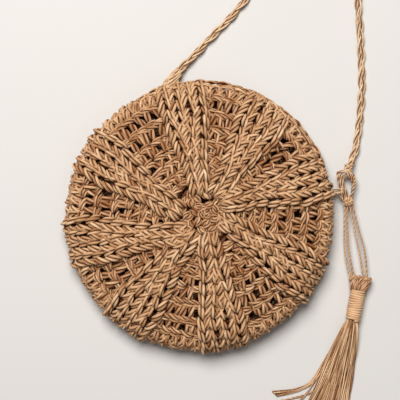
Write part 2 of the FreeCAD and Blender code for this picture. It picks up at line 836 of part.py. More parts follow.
def make_core():
    core = document.addObject("Part::Cone", "tassel_core")
    core.Label = "tassel_core"
    bind(core, "Radius1", "neck_top_radius")
    bind(core, "Radius2", "neck_bottom_radius")
    bind(core, "Height", "neck_length")
    core.Placement = section_place(neck_start)
    return core


def make_neck_wrap():
    """One yarn wound down the neck over the core."""
    diameter = size("wrap_diameter")
    pitch = size("wrap_pitch")
    wound_length = size("neck_length") - 2 * size("wrap_margin")
    half_turns = int(2 * wound_length / pitch)
    slimming = (size("neck_top_radius") - size("neck_bottom_radius")) / size("neck_length")
    points = []
    directions = []
    for step in range(half_turns + 1):
        depth = size("wrap_margin") + step * pitch / 2
        radius = size("neck_top_radius") - slimming * depth + diameter / 2 - size("wrap_bite")
        angle = math.pi * step
        slope = pitch / (2 * math.pi * radius)
        points.append(Vector(neck_start + depth, radius * math.cos(angle), radius * math.sin(angle)))
        directions.append(Vector(slope, -math.sin(angle), math.cos(angle)).normalize())
    edges = wound_edges(points, directions, diameter)
    print_least_gap(edges, diameter, 2 * math.pi * size("neck_top_radius"), "tassel_neck_wrap")
    wrap = tube(edges, diameter / 2, "tassel_neck_wrap", WRAP_FLAT_COUNT)
    return add_shape("tassel_neck_wrap", wrap, tassel_place)


def skirt_lattice():
    """Places of the strands under the neck, packed in rows: (row, index) to (across, up)."""
    spacing = size("strand_spacing")
    half = LONGEST_SKIRT_ROW // 2
    places = {}
    for row in range(-half, half + 1):
        count = LONGEST_SKIRT_ROW - abs(row)
        for index in range(count):
            across = (index - (count - 1) / 2) * spacing
            places[(row, index)] = (across, row * spacing * math.sqrt(3) / 2)
    return places


def make_skirt(places):
    radius = size("strand_diameter") / 2
    top = neck_end - size("strand_seat")
    strands = []
    for key, (across, up) in places.items():
        if key in STRAY_LATTICE_PLACES:
            continue
        start = Vector(top, across, up)
        hem_up = up * SKIRT_HEIGHT_SHARE - size("skirt_drop")
        hem_across = across * SKIRT_WIDTH_SHARE + size("skirt_lean")
        hem = Vector(neck_end + size("skirt_length"), hem_across, hem_up)
        strands.append(Part.makeCylinder(radius, (hem - start).Length, start, hem - start))
    return add_shape("tassel_skirt", Part.makeCompound(strands), tassel_place)


def make_stray_strands(places):
    radius = size("strand_diameter") / 2
    strands = []
    for key, route in zip(STRAY_LATTICE_PLACES, STRAY_ROUTES):
        across, up = places[key]
        start = tassel_place.multVec(Vector(neck_end - size("strand_seat"), across, up))
        points = [start] + [Vector(*point) for point in route]
        strands.append(tube(route_edges(points, "stray"), radius, "stray", COIL_FLAT_COUNT))
    return add_shape("tassel_stray_strands", Part.makeCompound(strands))


lattice = skirt_lattice()
nodes.append(make_head())
nodes.append(make_core())
nodes.append(make_neck_wrap())
nodes.append(make_skirt(lattice))
nodes.append(make_stray_strands(lattice))

# Checks and export

document.recompute()
for item in document.Objects:
    if "Invalid" in item.State or "Error" in item.State:
        raise RuntimeError(f"{item.Label} did not compute")
os.makedirs("parts", exist_ok=True)
for node in nodes:
    if node.Shape.isNull() or not node.Shape.isValid():
        raise RuntimeError(f"{node.Label} has no valid shape")
    node.Shape.exportStep(f"parts/{node.Label}.step")
    print(node.Label, len(node.Shape.Solids), round(node.Shape.Volume, 1))
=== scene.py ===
import math
from dataclasses import dataclass, field

import bpy
import numpy as np
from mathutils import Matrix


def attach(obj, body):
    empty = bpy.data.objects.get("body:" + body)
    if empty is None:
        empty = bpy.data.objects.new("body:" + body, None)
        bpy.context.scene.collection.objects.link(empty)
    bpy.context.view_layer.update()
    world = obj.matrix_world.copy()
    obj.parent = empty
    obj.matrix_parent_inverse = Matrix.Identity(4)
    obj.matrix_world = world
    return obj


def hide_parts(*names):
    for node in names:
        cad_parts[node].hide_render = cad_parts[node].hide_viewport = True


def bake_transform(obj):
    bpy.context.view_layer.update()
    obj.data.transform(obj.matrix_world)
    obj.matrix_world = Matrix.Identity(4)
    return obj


# A round crossbody bag crocheted in paper straw, lying on its back, in metres and in the CAD part's frame.

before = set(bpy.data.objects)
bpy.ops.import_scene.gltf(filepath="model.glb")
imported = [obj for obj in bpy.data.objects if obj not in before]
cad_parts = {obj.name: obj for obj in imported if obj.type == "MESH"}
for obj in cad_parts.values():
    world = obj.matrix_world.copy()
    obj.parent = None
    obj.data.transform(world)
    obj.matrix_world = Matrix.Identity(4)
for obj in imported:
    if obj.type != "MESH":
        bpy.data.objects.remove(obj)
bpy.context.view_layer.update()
RANDOM_SEED = 11
chance = np.random.default_rng(RANDOM_SEED)
scene = bpy.context.scene

TURN = 2 * math.pi
UP = np.array((0.0, 0.0, 1.0))
TINY = 1e-9

# Camera and light
VIEW_CENTRE = (-0.0053, 0.0103)
VIEW_WIDTH = 0.2717
VIEW_LEVEL = 0.013
CAMERA_HEIGHT = 0.9
CAMERA_ROLL = 29
FLOOR_SIZE = 6.0
FLOOR_DROP = 0.0002
FLOOR_ROUGHNESS = 0.8
KEY_PLACE = (-0.48, 0.46, 1.4)
KEY_SIZE = 0.9
KEY_POWER = 35
FILL_PLACE = (0.8, -0.5, 1.2)
FILL_SIZE = 1.2
FILL_POWER = 2
SKY_STRENGTH = 0.1

# Section of the bag, as in the CAD part
BAG_RADIUS = 0.091
CROWN_HEIGHT = 0.036
CROWN_DROP = 0.0065
FRONT_RIM_WIDTH = 0.017
FRONT_RIM_HEIGHT = 0.018
BACK_RIM_WIDTH = 0.013
BACK_RIM_HEIGHT = 0.0085
SEAM_BULGE = 0.0016
# How the stitches follow it: points on its arcs, depth below it and the hub's place off the middle
CROWN_POINTS = 60
RIM_POINTS = 40
SEAM_POINTS = 30
FRONT_INSET = 0.0039
BACK_INSET = 0.0059
HUB_OFFSET = (0.0019, 0.0042)

# Yarn and stitches
PLY_RADIUS = 0.00099
PLY_COUNT = 3
PAIR = 2
PAIR_PLY_RADIUS = 0.0009
PLY_OFFSET_SHARES = {1: 0, 2: 0.97, 3: 1.2}
LEG_POINTS = 9
LEG_TURNS = 0.45
PLY_FLATS = 6
LIGHT_FLATS = 5
QUAD_CORNERS = 4
END_TAPER_SHARE = 0.6
SWELL_POWER = 0.7
STITCH_SWELL = 0.5
# Painted shade on the plies: where a ply turns dark on its inner side, and how far facing up holds that
# back
LAID_PAINTED_SHADE_SHARES = (0.85, 0.6)
FREE_PAINTED_SHADE_SHARES = (0.3, 0)
# How much painted shade the tucked ends of each yarn get
END_PAINTED_SHADE_SHARE = 1.1
V_PITCH = 0.0075
V_LENGTH = 0.0094
V_ROOT = 0.0006
V_SPREAD = 0.0036
V_SPREAD_POWER = 0.8
V_LIFT = 0.0028
V_LIFT_POWER = 0.8
V_END_DIP = 0.0024
COLUMN_SPACING = 0.0078
RIM_SPACING = 0.007
ALONG_JITTER = 0.0005
ACROSS_JITTER = 0.00045
HEIGHT_JITTER = 0.00035
RIB_BEARINGS = (-139.5, -96, -50, 0, 48, 86.5, 128, 178)
RIB_LEANS = (0.0105, 0, 0, 0.0025, 0.003, 0, 0, 0.008)
LEAN_END = 0.08
RIB_START = 0.0125
RIB_LEVEL = 0.0013
RIB_PLY_RADIUS = 0.00108
NARROW_END = 0.026
NARROW_SHARE = 0.66
RIB_OUTER_SHARES = (NARROW_SHARE / 2, 0.5, 0.5, 1, 1, 1.5)
RIB_MIDDLE_SHARES = (0, 0, 0, 0, 0, -0.5)
RIB_FOURTH_SHARES = (0.2, 0.2, 0.2, 0.2, 0.2, 0.5)
MIDDLE_COLUMN_START = 0.044
FOURTH_COLUMN_START = 0.061
RIM_START = 0.0815
RIM_LEVEL = 0.0002
RIM_LAST_START = 0.0885
RIM_SINK = 0.0016
RIM_SINK_RUN = (0.078, 0.09)
MOUTH_LAST_START = 0.0855
MOUTH_BEARINGS = (41, 140)
BAR_RADII = (0.0255, 0.0325, 0.0402, 0.0485, 0.0588, 0.0702, 0.081)
BAR_LEVEL = -0.0022
BAR_SPREAD_SHARE = 0.5
BAR_PLY_RADIUS = 0.00084
# The lattice and hub lie sunk below the ribs and are painted darker as shade: a lower tone and some painted
# shade
BAR_PAINTED_SHADE_TONE = -0.8
BAR_PAINTED_SHADE = 0.06
BAR_RISE_SHARE = 0.7
BAR_STEP = 0.0012
BAR_LEAST_POINTS = 4
BAR_WAVES = (0.0095, 0.016)
BAR_HALF_WIDTH = 0.0017
BAR_SWAY = 0.0005
BAR_HALF_HEIGHT = 0.0011
BAR_TURN = 0.02
BAR_TUCK = 0.0025
BACKING_RADII = (0.0145, 0.09)
BACKING_OPEN = (0.022, 0.083)
BACKING_SPACING = 0.0047
BACKING_LEVEL = -0.0034
# Painted shade over nearly all of the backing, which lies deepest
BACKING_PAINTED_SHADE = 0.92
BACKING_PLY_RADIUS = 0.00125
BED_SHARES = (-0.67, 0, 0.67)
BED_STEP = 0.0018
BED_LEVEL = -0.0004
POST_SPACING = 0.0058
POST_LEVEL = -0.004
# Posts and rib beds are painted darker as shade: a lower tone and painted shade
POST_PAINTED_SHADE_TONE = -1
POST_PAINTED_SHADE = 0.36
POST_RISE = 0.0028
POST_SHIFT = 0.0011
POST_PLY_RADIUS = 0.0011
HUB_RINGS = ((0.0024, 3, -0.0022), (0.0068, 7, -0.0018), (0.0112, 10, -0.0022), (0.0152, 14, -0.0028))
HUB_PLY_RADIUS = 0.0008
# Painted shade on the hub's loops
HUB_PAINTED_SHADE = 0.14
HUB_LOOP_LENGTH = 0.0068
HUB_LOOP_LIFT = 0.0026
HUB_LOOP_WIDTH = 0.0014
HUB_BEARING_JITTER_SHARE = 0.15
EDGE_SPREAD = 0.0007
EDGE_LIFT_SHARE = 0.35
EDGE_PLY_RADIUS = 0.0007


def unit(vectors):
    lengths = np.linalg.norm(vectors, axis=-1, keepdims=True)
    return vectors / np.maximum(lengths, TINY)


def polar(radius, degrees, height=0.0):
    angle = math.radians(degrees)
    return np.array((radius * math.cos(angle), radius * math.sin(angle), height))


def centred(count, spacing):
    """Evenly spaced offsets with their middle at zero."""
    return (np.arange(count) - (count - 1) / 2) * spacing


def path_lengths(paths):
    """Distance along each path, from zero."""
    steps = np.linalg.norm(np.diff(paths, axis=1), axis=2)
    return np.concatenate([np.zeros((len(paths), 1)), np.cumsum(steps, axis=1)], axis=1)


def path_frames(paths, ups):
    """Side and lift directions across each path."""
    tangents = unit(np.gradient(paths, axis=1))
    sides = unit(np.cross(ups, tangents))
    lifts = np.cross(tangents, sides)
    return sides, lifts


def add_object(name, data):
    thing = bpy.data.objects.new(name, data)
    scene.collection.objects.link(thing)
    return thing


def ring_quads(here, ahead):
    """Corner values of the faces between a tube's rings, from values here and one flat ahead."""
    return np.stack([here[:, :-1], ahead[:, :-1], ahead[:, 1:], here[:, 1:]], axis=-1)


def end_caps(values):
    """Corner values of the faces that close a tube's two ends."""
    return np.stack([values[:, 0, ::-1], values[:, -1]], axis=1)


@dataclass
class Yarn:
    """Collects yarns of twisted plies and turns them into one mesh."""

    ply_radius: float = PLY_RADIUS
    ply_count: int = PLY_COUNT
    flats: int = PLY_FLATS
    tone: float = 0
    tone_range: float = 1
    swell: float = 0
    # Painted shade for yarns that lie deep in the work, and the shares of painted shade on the plies' inner
    # sides
    depth: float = 0
    painted_shade_shares: tuple = LAID_PAINTED_SHADE_SHARES
    groups: list = field(default_factory=list)

    def add(self, paths, ups, turns=LEG_TURNS):
        """Yarns along paths of shape (count, points, 3); ups point away from what they lie on."""
        ups = np.broadcast_to(ups, paths.shape)
        sides, lifts = path_frames(paths, ups)
        share = np.linspace(0, 1, paths.shape[1])[None, :]
        phase = chance.uniform(0, 1, (len(paths), 1))
        fullness = 1 - self.swell * (1 - np.sin(np.pi * share) ** SWELL_POWER)
        offset = (self.ply_radius * PLY_OFFSET_SHARES[self.ply_count] * fullness)[..., None]
        for ply in range(self.ply_count):
            angle = TURN * (phase + turns * share + ply / self.ply_count)
            place = np.cos(angle)[..., None] * sides + np.sin(angle)[..., None] * lifts
            self.add_tubes(paths + offset * place, ups, place, fullness[0])

    def add_tubes(self, paths, ups, outward, fullness):
        """Round plies, with painted shade on their sides towards the yarn's own middle and what it lies on,
        at the tucked ends and on yarns that lie deep.
        """
        sides, lifts = path_frames(paths, ups)
        angles = TURN * np.arange(self.flats) / self.flats
        taper = np.sqrt(fullness)
        taper[[0, -1]] *= END_TAPER_SHARE
        radii = (self.ply_radius * taper)[None, :, None, None]
        ring = np.cos(angles)[None, None, :, None] * sides[:, :, None, :]
        ring = ring + np.sin(angles)[None, None, :, None] * lifts[:, :, None, :]
        lengths = path_lengths(paths) + chance.uniform(0, 1, (len(paths), 1))
        tones = chance.normal(self.tone, self.tone_range, len(paths))
        # Painted shade: darker where a ply faces in towards the yarn's middle or down, at the tucked ends,
        # and on deep yarns
        start_share, lift_share = self.painted_shade_shares
        facing = (ring * (outward + lift_share * ups)[:, :, None, :]).sum(axis=-1)
        depth = self.depth + END_PAINTED_SHADE_SHARE * (1 - fullness)[None, :, None]
        painted_shades = np.clip((start_share - facing) * (self.ply_count > 1) + depth, 0, 1)
        self.groups.append((paths[:, :, None, :] + radii * ring, lengths, tones, painted_shades))

    def build(self, name, material):
        mesh = bpy.data.meshes.new(name)
        corners = []
        faces = []
        face_sizes = []
        uvs = []
        tones = []
        painted_shades = []
        base = 0
        for rings, lengths, tone, painted_shade in self.groups:
            count, points, flats = rings.shape[:-1]
            index = base + np.arange(count * points * flats).reshape(count, points, flats)
            base += index.size
            corners.append(rings.reshape(-1, 3))
            tones.append(np.repeat(tone, points * flats))
            painted_shades.append(painted_shade.ravel())
            around = np.broadcast_to(np.arange(flats) / flats, index.shape)
            along = np.broadcast_to(lengths[:, :, None], index.shape)
            faces.append(ring_quads(index, np.roll(index, -1, axis=2)).ravel())
            face_sizes.append(np.full(count * (points - 1) * flats, QUAD_CORNERS))
            quad_uvs = [ring_quads(along, along), ring_quads(around, around + 1 / flats)]
            uvs.append(np.stack(quad_uvs, axis=-1).reshape(-1, 2))
            faces.append(end_caps(index).ravel())
            face_sizes.append(np.full(2 * count, flats))
            uvs.append(np.stack([end_caps(along), end_caps(around)], axis=-1).reshape(-1, 2))
        vertices = np.concatenate(corners).astype(np.float32)
        loop_vertices = np.concatenate(faces).astype(np.int32)
        sizes = np.concatenate(face_sizes)
        starts = np.concatenate([[0], np.cumsum(sizes)[:-1]]).astype(np.int32)
        mesh.vertices.add(len(vertices))
        mesh.vertices.foreach_set("co", vertices.ravel())
        mesh.loops.add(len(loop_vertices))
        mesh.loops.foreach_set("vertex_index", loop_vertices)
        mesh.polygons.add(len(starts))
        mesh.polygons.foreach_set("loop_start", starts)
        mesh.polygons.foreach_set("use_smooth", np.ones(len(starts), dtype=bool))
        layer = mesh.uv_layers.new(name="yarn")
        layer.data.foreach_set("uv", np.concatenate(uvs).astype(np.float32).ravel())
        for title, values in (("tone", tones), ("painted_shade", painted_shades)):
            attribute = mesh.attributes.new(title, "FLOAT", "POINT")
            attribute.data.foreach_set("value", np.concatenate(values).astype(np.float32))
        mesh.update()
        mesh.validate()
        mesh.materials.append(material)
        return add_object(name, mesh)


def free_yarn(ply_radius, **looks):
    """Two twisted plies that show from all sides, with painted shade only where they face each other."""
    return Yarn(ply_radius, PAIR, painted_shade_shares=FREE_PAINTED_SHADE_SHARES, **looks)


# Camera, light and floor


def add_camera():
    data = bpy.data.cameras.new("camera")
    data.lens = data.sensor_width * (CAMERA_HEIGHT - VIEW_LEVEL) / VIEW_WIDTH
    camera = add_object("camera", data)
    camera.location = (*VIEW_CENTRE, CAMERA_HEIGHT)
    camera.rotation_euler = (0, 0, math.radians(CAMERA_ROLL))
    scene.camera = camera


def add_area_light(name, place, size, power):
    data = bpy.data.lights.new(name, "AREA")
    data.shape = "DISK"
    data.size = size
    data.energy = power
    light = add_object(name, data)
    light.location = place
    light.rotation_euler = light.location.to_track_quat("Z", "Y").to_euler()


def add_world():
    world = bpy.data.worlds.new("studio")
    world.use_nodes = True
    background = world.node_tree.nodes["Background"]
    background.inputs["Color"].default_value = (1, 1, 1, 1)
    background.inputs["Strength"].default_value = SKY_STRENGTH
    scene.world = world
    scene.view_settings.view_transform = "Standard"


DISPLAY_FULL = 255
DISPLAY_DARK_END = 0.04045
DISPLAY_DARK_SLOPE = 12.92
DISPLAY_OFFSET = 0.055
DISPLAY_POWER = 2.4


def linear(red, green, blue):
    """A colour given as display values from 0 to 255, in linear light."""
    values = np.array((red, green, blue)) / DISPLAY_FULL
    dark = values / DISPLAY_DARK_SLOPE
    bright = ((values + DISPLAY_OFFSET) / (1 + DISPLAY_OFFSET)) ** DISPLAY_POWER
    return (*np.where(values <= DISPLAY_DARK_END, dark, bright), 1)


FLOOR_COLOURS = (linear(197, 193, 188), linear(205, 201, 196))
FLOOR_GRAIN = 9


def fill_inputs(tree, node, inputs):
    """Sets a node's inputs to values, or links them to another node's outputs."""
    for title, value in inputs.items():
        if isinstance(value, bpy.types.NodeSocket):
            tree.links.new(value, node.inputs[title])
        else:
            node.inputs[title].default_value = value


def add_node(tree, kind, inputs):
    node = tree.nodes.new(f"ShaderNode{kind}")
    fill_inputs(tree, node, inputs)
    return node


def add_floor():
    material = bpy.data.materials.new("floor")
    material.use_nodes = True
    tree = material.node_tree
    noise = add_node(tree, "TexNoise", {"Scale": FLOOR_GRAIN})
    ramp = add_node(tree, "ValToRGB", {"Fac": noise.outputs["Fac"]})
    for element, colour in zip(ramp.color_ramp.elements, FLOOR_COLOURS):
        element.color = colour
    looks = {"Base Color": ramp.outputs["Color"], "Roughness": FLOOR_ROUGHNESS}
    fill_inputs(tree, tree.nodes["Principled BSDF"], looks)
    half = FLOOR_SIZE / 2
    mesh = bpy.data.meshes.new("floor")
    corners = [(-half, -half, 0), (half, -half, 0), (half, half, 0), (-half, half, 0)]
    mesh.from_pydata(corners, [], [(0, 1, 2, 3)])
    mesh.materials.append(material)
    floor = add_object("floor", mesh)
    floor.location = (0, 0, -FLOOR_DROP)


add_camera()
add_area_light("key", KEY_PLACE, KEY_SIZE, KEY_POWER)
add_area_light("fill", FILL_PLACE, FILL_SIZE, FILL_POWER)
add_world()
add_floor()

# Straw materials

FIBRE_LENGTH_SCALE = 160
FIBRE_AROUND_SCALE = 2.6
FIBRE_DETAIL = 5
FIBRE_SHARE = 0.6
PATCH_SCALE = 45
PATCH_DETAIL = 2
PATCH_SHARE = 0.4
TONE_SHARE = 0.055
SHADE_PLACE_SHARES = (0.3, 0.5, 0.7)
# Colour and strength of the painted shade mixed into the straw
PAINTED_SHADE_COLOUR = linear(84, 30, 6)
PAINTED_SHADE_SHARE = 0.96
BUMP_STRENGTH = 0.45
BUMP_DISTANCE = 0.0004
STRAW_ROUGHNESS = 0.72
STRAW_SHINE = 0.08


def straw_material(name, shades):
    """Paper straw: fibres along the yarn, slow patches of lighter and darker straw, one tone for each ply,
    and painted shade from a value that each point carries.
    """
    material = bpy.data.materials.new(name)
    material.use_nodes = True
    tree = material.node_tree

    def math_node(operation, first, second=0):
        node = add_node(tree, "Math", {0: first, 1: second})
        node.operation = operation
        return node.outputs[0]

    def attribute(title):
        node = add_node(tree, "Attribute", {})
        node.attribute_name = title
        return node.outputs["Fac"]

    def noise_at(along_scale, around_scale, detail):
        places = {
            "X": math_node("MULTIPLY", split.outputs["X"], along_scale),
            "Y": math_node("MULTIPLY", math_node("COSINE", angle), around_scale),
            "Z": math_node("MULTIPLY", math_node("SINE", angle), around_scale),
        }
        vector = add_node(tree, "CombineXYZ", places).outputs["Vector"]
        noise = add_node(tree, "TexNoise", {"Scale": 1, "Detail": detail, "Vector": vector})
        return noise.outputs["Fac"]

    coordinates = add_node(tree, "UVMap", {})
    coordinates.uv_map = "yarn"
    split = add_node(tree, "SeparateXYZ", {"Vector": coordinates.outputs["UV"]})
    angle = math_node("MULTIPLY", split.outputs["Y"], TURN)
    fibre = noise_at(FIBRE_LENGTH_SCALE, FIBRE_AROUND_SCALE, FIBRE_DETAIL)
    patch = noise_at(PATCH_SCALE, 0, PATCH_DETAIL)
    mixed = math_node("MULTIPLY", fibre, FIBRE_SHARE)
    mixed = math_node("ADD", mixed, math_node("MULTIPLY", patch, PATCH_SHARE))
    mixed = math_node("ADD", mixed, math_node("MULTIPLY", attribute("tone"), TONE_SHARE))
    ramp = add_node(tree, "ValToRGB", {"Fac": mixed})
    elements = ramp.color_ramp.elements
    elements.new(SHADE_PLACE_SHARES[1])
    for element, position, shade in zip(elements, SHADE_PLACE_SHARES, shades):
        element.position = position
        element.color = shade
    # Painted shade: the straw is mixed towards a dark red-brown by each point's painted shade value
    painted_shade_amount = math_node("MULTIPLY", attribute("painted_shade"), PAINTED_SHADE_SHARE)
    colours = {"Fac": painted_shade_amount, "Color1": ramp.outputs["Color"], "Color2": PAINTED_SHADE_COLOUR}
    painted_shade_mix = add_node(tree, "MixRGB", colours)
    bump = add_node(tree, "Bump", {"Strength": BUMP_STRENGTH, "Distance": BUMP_DISTANCE, "Height": fibre})
    looks = {
        "Base Color": painted_shade_mix.outputs["Color"],
        "Roughness": STRAW_ROUGHNESS,
        "Specular IOR Level": STRAW_SHINE,
        "Normal": bump.outputs["Normal"],
    }
    fill_inputs(tree, tree.nodes["Principled BSDF"], looks)
    return material


STRAW_SHADES = {
    "straw_panel": (linear(142, 91, 51), linear(197, 154, 113), linear(222, 187, 148)),
    "straw_cord": (linear(158, 120, 84), linear(209, 173, 135), linear(236, 206, 170)),
    "straw_tassel": (linear(158, 115, 78), linear(210, 168, 128), linear(236, 201, 162)),
    "straw_skirt": (linear(118, 74, 38), linear(192, 148, 108), linear(230, 192, 150)),
}
straws = {name: straw_material(name, shades) for name, shades in STRAW_SHADES.items()}


def add_piece(yarn, name, body, slot, *nodes, straw=None):
    """Builds a yarn as one piece that rides on a body and stands for nodes of the CAD part."""
    piece = yarn.build(name, straws[straw or slot])
    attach(piece, body)
    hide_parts(*nodes)
    return piece


def add_bending_piece(yarn, name, slot, node):
    """Builds a yarn as one piece in the scene's own frame, on no body, and hides the node it stands for."""
    piece = yarn.build(name, straws[slot])
    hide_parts(node)
    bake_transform(piece)


# Strap

STRAP_DIAMETER = 0.005
STRAP_LENGTH = 1.15
ROOT_HEIGHT = 0.007
LEFT_KNOT_OVERHANG = 0.0036
LEFT_KNOT_BEARING = 132.7
LEFT_KNOT = polar(BAG_RADIUS + LEFT_KNOT_OVERHANG, LEFT_KNOT_BEARING, ROOT_HEIGHT)
LOOP_OVERHANG = 0.0107
LOOP_BEARING = 37.6
LOOP_CENTRE = polar(BAG_RADIUS + LOOP_OVERHANG, LOOP_BEARING, ROOT_HEIGHT)
LOOP_ANGLE = 114.6
LOOP_BEND = 0.004
LOOP_STRAIGHT = 0.0092
LOOP_CORD_RADIUS = 0.0015
KNOT_RADIUS = 0.0034
SWING_GAP = 0.0003
LOOP_DIRECTION = polar(1, LOOP_ANGLE)
LOOP_SIDE = polar(1, LOOP_ANGLE + 90)
LOOP_FAR_CENTRE = LOOP_CENTRE + LOOP_DIRECTION * LOOP_STRAIGHT
RIGHT_KNOT = LOOP_FAR_CENTRE + LOOP_DIRECTION * (LOOP_BEND + LOOP_CORD_RADIUS + SWING_GAP + KNOT_RADIUS)
STRAP_LEFT_ROUTE = [(-0.0589, 0.0875, 0.0044), (-0.0526, 0.112, 0.0026), (-0.0448, 0.141, 0.0026)]
STRAP_RIGHT_ROUTE = [
    (0.024, 0.181, 0.0032),
    (0.0425, 0.153, 0.0025),
    (0.0578, 0.126, 0.0025),
    (0.0676, 0.103, 0.0026),
    (0.0724, 0.0895, 0.0042),
]
COIL_CENTRE = np.array((-0.026, 0.202, 0))
COIL_BASE = 0.0034
COIL_OUTER_RADIUS = 0.034
COIL_HALF_TURNS = 5
COIL_STEP = 0.0065
COIL_LAYER_STEP = 0.0063
COIL_START_ANGLE = 209
COIL_HALF_TURN_POINTS = 12
COIL_LEAD_IN = 0.02
COIL_LEAD_OUT = 0.012
CORD_RESOLUTION = 12
SPLINE_ORDER = 3
BRAID_STRANDS = 3
BRAID_PITCH = 0.032
BRAID_HALF_WIDTH = 0.00145
BRAID_HALF_HEIGHT = 0.0009
BRAID_PLY_RADIUS = 0.00068
BRAID_TWIST = 0.009


def spline_points(route):
    """The centreline of a cord: a NURBS spline over the route's points, as Blender evaluates it."""
    curve = bpy.data.curves.new("route", "CURVE")
    curve.dimensions = "3D"
    curve.resolution_u = CORD_RESOLUTION
    spline = curve.splines.new("NURBS")
    spline.points.add(len(route) - 1)
    for point, place in zip(spline.points, route):
        point.co = (*place, 1)
    spline.order_u = SPLINE_ORDER
    spline.use_endpoint_u = True
    holder = bpy.data.objects.new("route", curve)
    mesh = bpy.data.meshes.new_from_object(holder)
    points = np.array([vertex.co[:] for vertex in mesh.vertices])
    bpy.data.objects.remove(holder)
    bpy.data.meshes.remove(mesh)
    bpy.data.curves.remove(curve)
    return points


def coil_route():
    """Points that spiral in on the lower layer and out on the upper one, going clockwise."""
    last = 2 * COIL_HALF_TURNS + 1
    points = []
    for index in range(last * COIL_HALF_TURN_POINTS + 1):
        step = index / COIL_HALF_TURN_POINTS
        inward = min(step, last - step, COIL_HALF_TURNS)
        climb = min(max(step - COIL_HALF_TURNS, 0), 1)
        radius = COIL_OUTER_RADIUS - inward * COIL_STEP / 2
        height = COIL_BASE + COIL_LAYER_STEP * climb
        spot = polar(radius, COIL_START_ANGLE - 180 * step, height)
        points.append(spot + COIL_CENTRE)
    return points


def strap_route():
    coil = coil_route()
    start_direction = polar(1, COIL_START_ANGLE - 90)
    end_direction = -start_direction
    start = coil[0] - start_direction * STRAP_DIAMETER
    end = coil[-1] + end_direction * STRAP_DIAMETER
    left = [LEFT_KNOT, *STRAP_LEFT_ROUTE, start - start_direction * COIL_LEAD_IN, start]
    right = [end, end + end_direction * COIL_LEAD_OUT, *STRAP_RIGHT_ROUTE, RIGHT_KNOT]
    return left + coil + right


def wound_strands(points, count, turns, weave):
    """Strands along a path; weave gives their places across it and above it from an angle."""
    paths = points[None]
    sides, lifts = path_frames(paths, np.broadcast_to(UP, paths.shape))
    strands = []
    for strand in range(count):
        across, over = weave(TURN * (turns[..., None] + strand / count))
        strands.append(paths + across * sides + over * lifts)
    return np.concatenate(strands)


def braid_weave(angle):
    return BRAID_HALF_WIDTH * np.sin(angle), BRAID_HALF_HEIGHT * np.sin(2 * angle)


KNOT_PLY_RADIUS = 0.0006
KNOT_POINTS = 17
KNOT_TWISTS = 2
KNOT_TURN_RADIUS = 0.0021
RIGHT_KNOT_TILTS = (
    (-0.002, 0.15, 0),
    (-0.0008, 0.5, 1.2),
    (0.0006, -0.5, 0.6),
    (0.0018, 0.2, 2.4),
    (0, 0.9, 2),
)
LEFT_KNOT_TILTS = ((-0.0008, 0.3, 0), (0.0008, -0.35, 1.3))
LEFT_KNOT_TURN_RADIUS = 0.0014


def knot_loops(centre, axis, radius, tilts):
    """Turns of yarn round an axis, each tilted its own way."""
    yarn = free_yarn(KNOT_PLY_RADIUS)
    axis = unit(axis)
    side = unit(np.cross(UP, axis))
    lift = np.cross(axis, side)
    angles = TURN * np.linspace(0, 1, KNOT_POINTS)[:, None]
    for shift, lean, sway in tilts:
        ring = np.cos(angles) * side + np.sin(angles) * lift
        slant = lean * np.cos(angles + sway) * axis
        path = centre + axis * shift + radius * (ring + slant)
        yarn.add(path[None], unit(path - centre)[None], turns=KNOT_TWISTS)
    return yarn


strap_points = spline_points(strap_route())
strap_yarn = free_yarn(BRAID_PLY_RADIUS)
braid_turns = path_lengths(strap_points[None]) / BRAID_PITCH
strap_strands = wound_strands(strap_points, BRAID_STRANDS, braid_turns, braid_weave)
strap_yarn.add(strap_strands, UP, turns=round(STRAP_LENGTH / BRAID_TWIST))
strap_nodes = ("strap_left_run", "strap_coil", "strap_right_run")
strap = add_piece(strap_yarn, "strap_braid", "strap", "straw_cord", *strap_nodes)

right_knot_yarn = knot_loops(RIGHT_KNOT, LOOP_DIRECTION, KNOT_TURN_RADIUS, RIGHT_KNOT_TILTS)
right_knot = add_piece(right_knot_yarn, "strap_right_knot_turns", "strap", "straw_cord", "strap_right_knot")

left_axis = np.array(STRAP_LEFT_ROUTE[0]) - LEFT_KNOT
left_knot_yarn = knot_loops(LEFT_KNOT, left_axis, LEFT_KNOT_TURN_RADIUS, LEFT_KNOT_TILTS)
left_knot = add_piece(left_knot_yarn, "strap_left_knot_turns", "strap", "straw_cord", "strap_left_knot")

TIE_TURNS = 4
TIE_PLY_RADIUS = 0.0004
TIE_SPACING = 0.0011
TIE_CORNER_POWER = 0.35
TIE_POINTS = 49
TIE_TWISTS = 12


def coil_tie_paths():
    """Turns of twine round the coil's bundle, as rounded rectangles side by side."""
    inner = COIL_OUTER_RADIUS - COIL_HALF_TURNS * COIL_STEP / 2 - STRAP_DIAMETER / 2
    outer = COIL_OUTER_RADIUS + STRAP_DIAMETER / 2
    low = COIL_BASE - STRAP_DIAMETER / 2
    high = COIL_BASE + COIL_LAYER_STEP + STRAP_DIAMETER / 2
    angles = TURN * np.linspace(0, 1, TIE_POINTS)
    sides = np.array((np.cos(angles), np.sin(angles)))
    across, upward = np.sign(sides) * np.abs(sides) ** TIE_CORNER_POWER
    reach = (inner + outer) / 2 + (outer - inner + 2 * TIE_PLY_RADIUS) / 2 * across
    height = (low + high) / 2 + (high - low + 2 * TIE_PLY_RADIUS) / 2 * upward
    outward = polar(1, COIL_START_ANGLE - 90)
    along = polar(1, COIL_START_ANGLE)
    paths = []
    for shift in centred(TIE_TURNS, TIE_SPACING):
        paths.append(COIL_CENTRE + reach[:, None] * outward + shift * along + height[:, None] * UP)
    return np.array(paths), along


tie_yarn = free_yarn(TIE_PLY_RADIUS)
tie_paths, tie_along = coil_tie_paths()
tie_yarn.add(tie_paths, tie_along, turns=TIE_TWISTS)
coil_tie = add_piece(tie_yarn, "strap_coil_twine", "strap", "straw_cord", "strap_coil_tie")

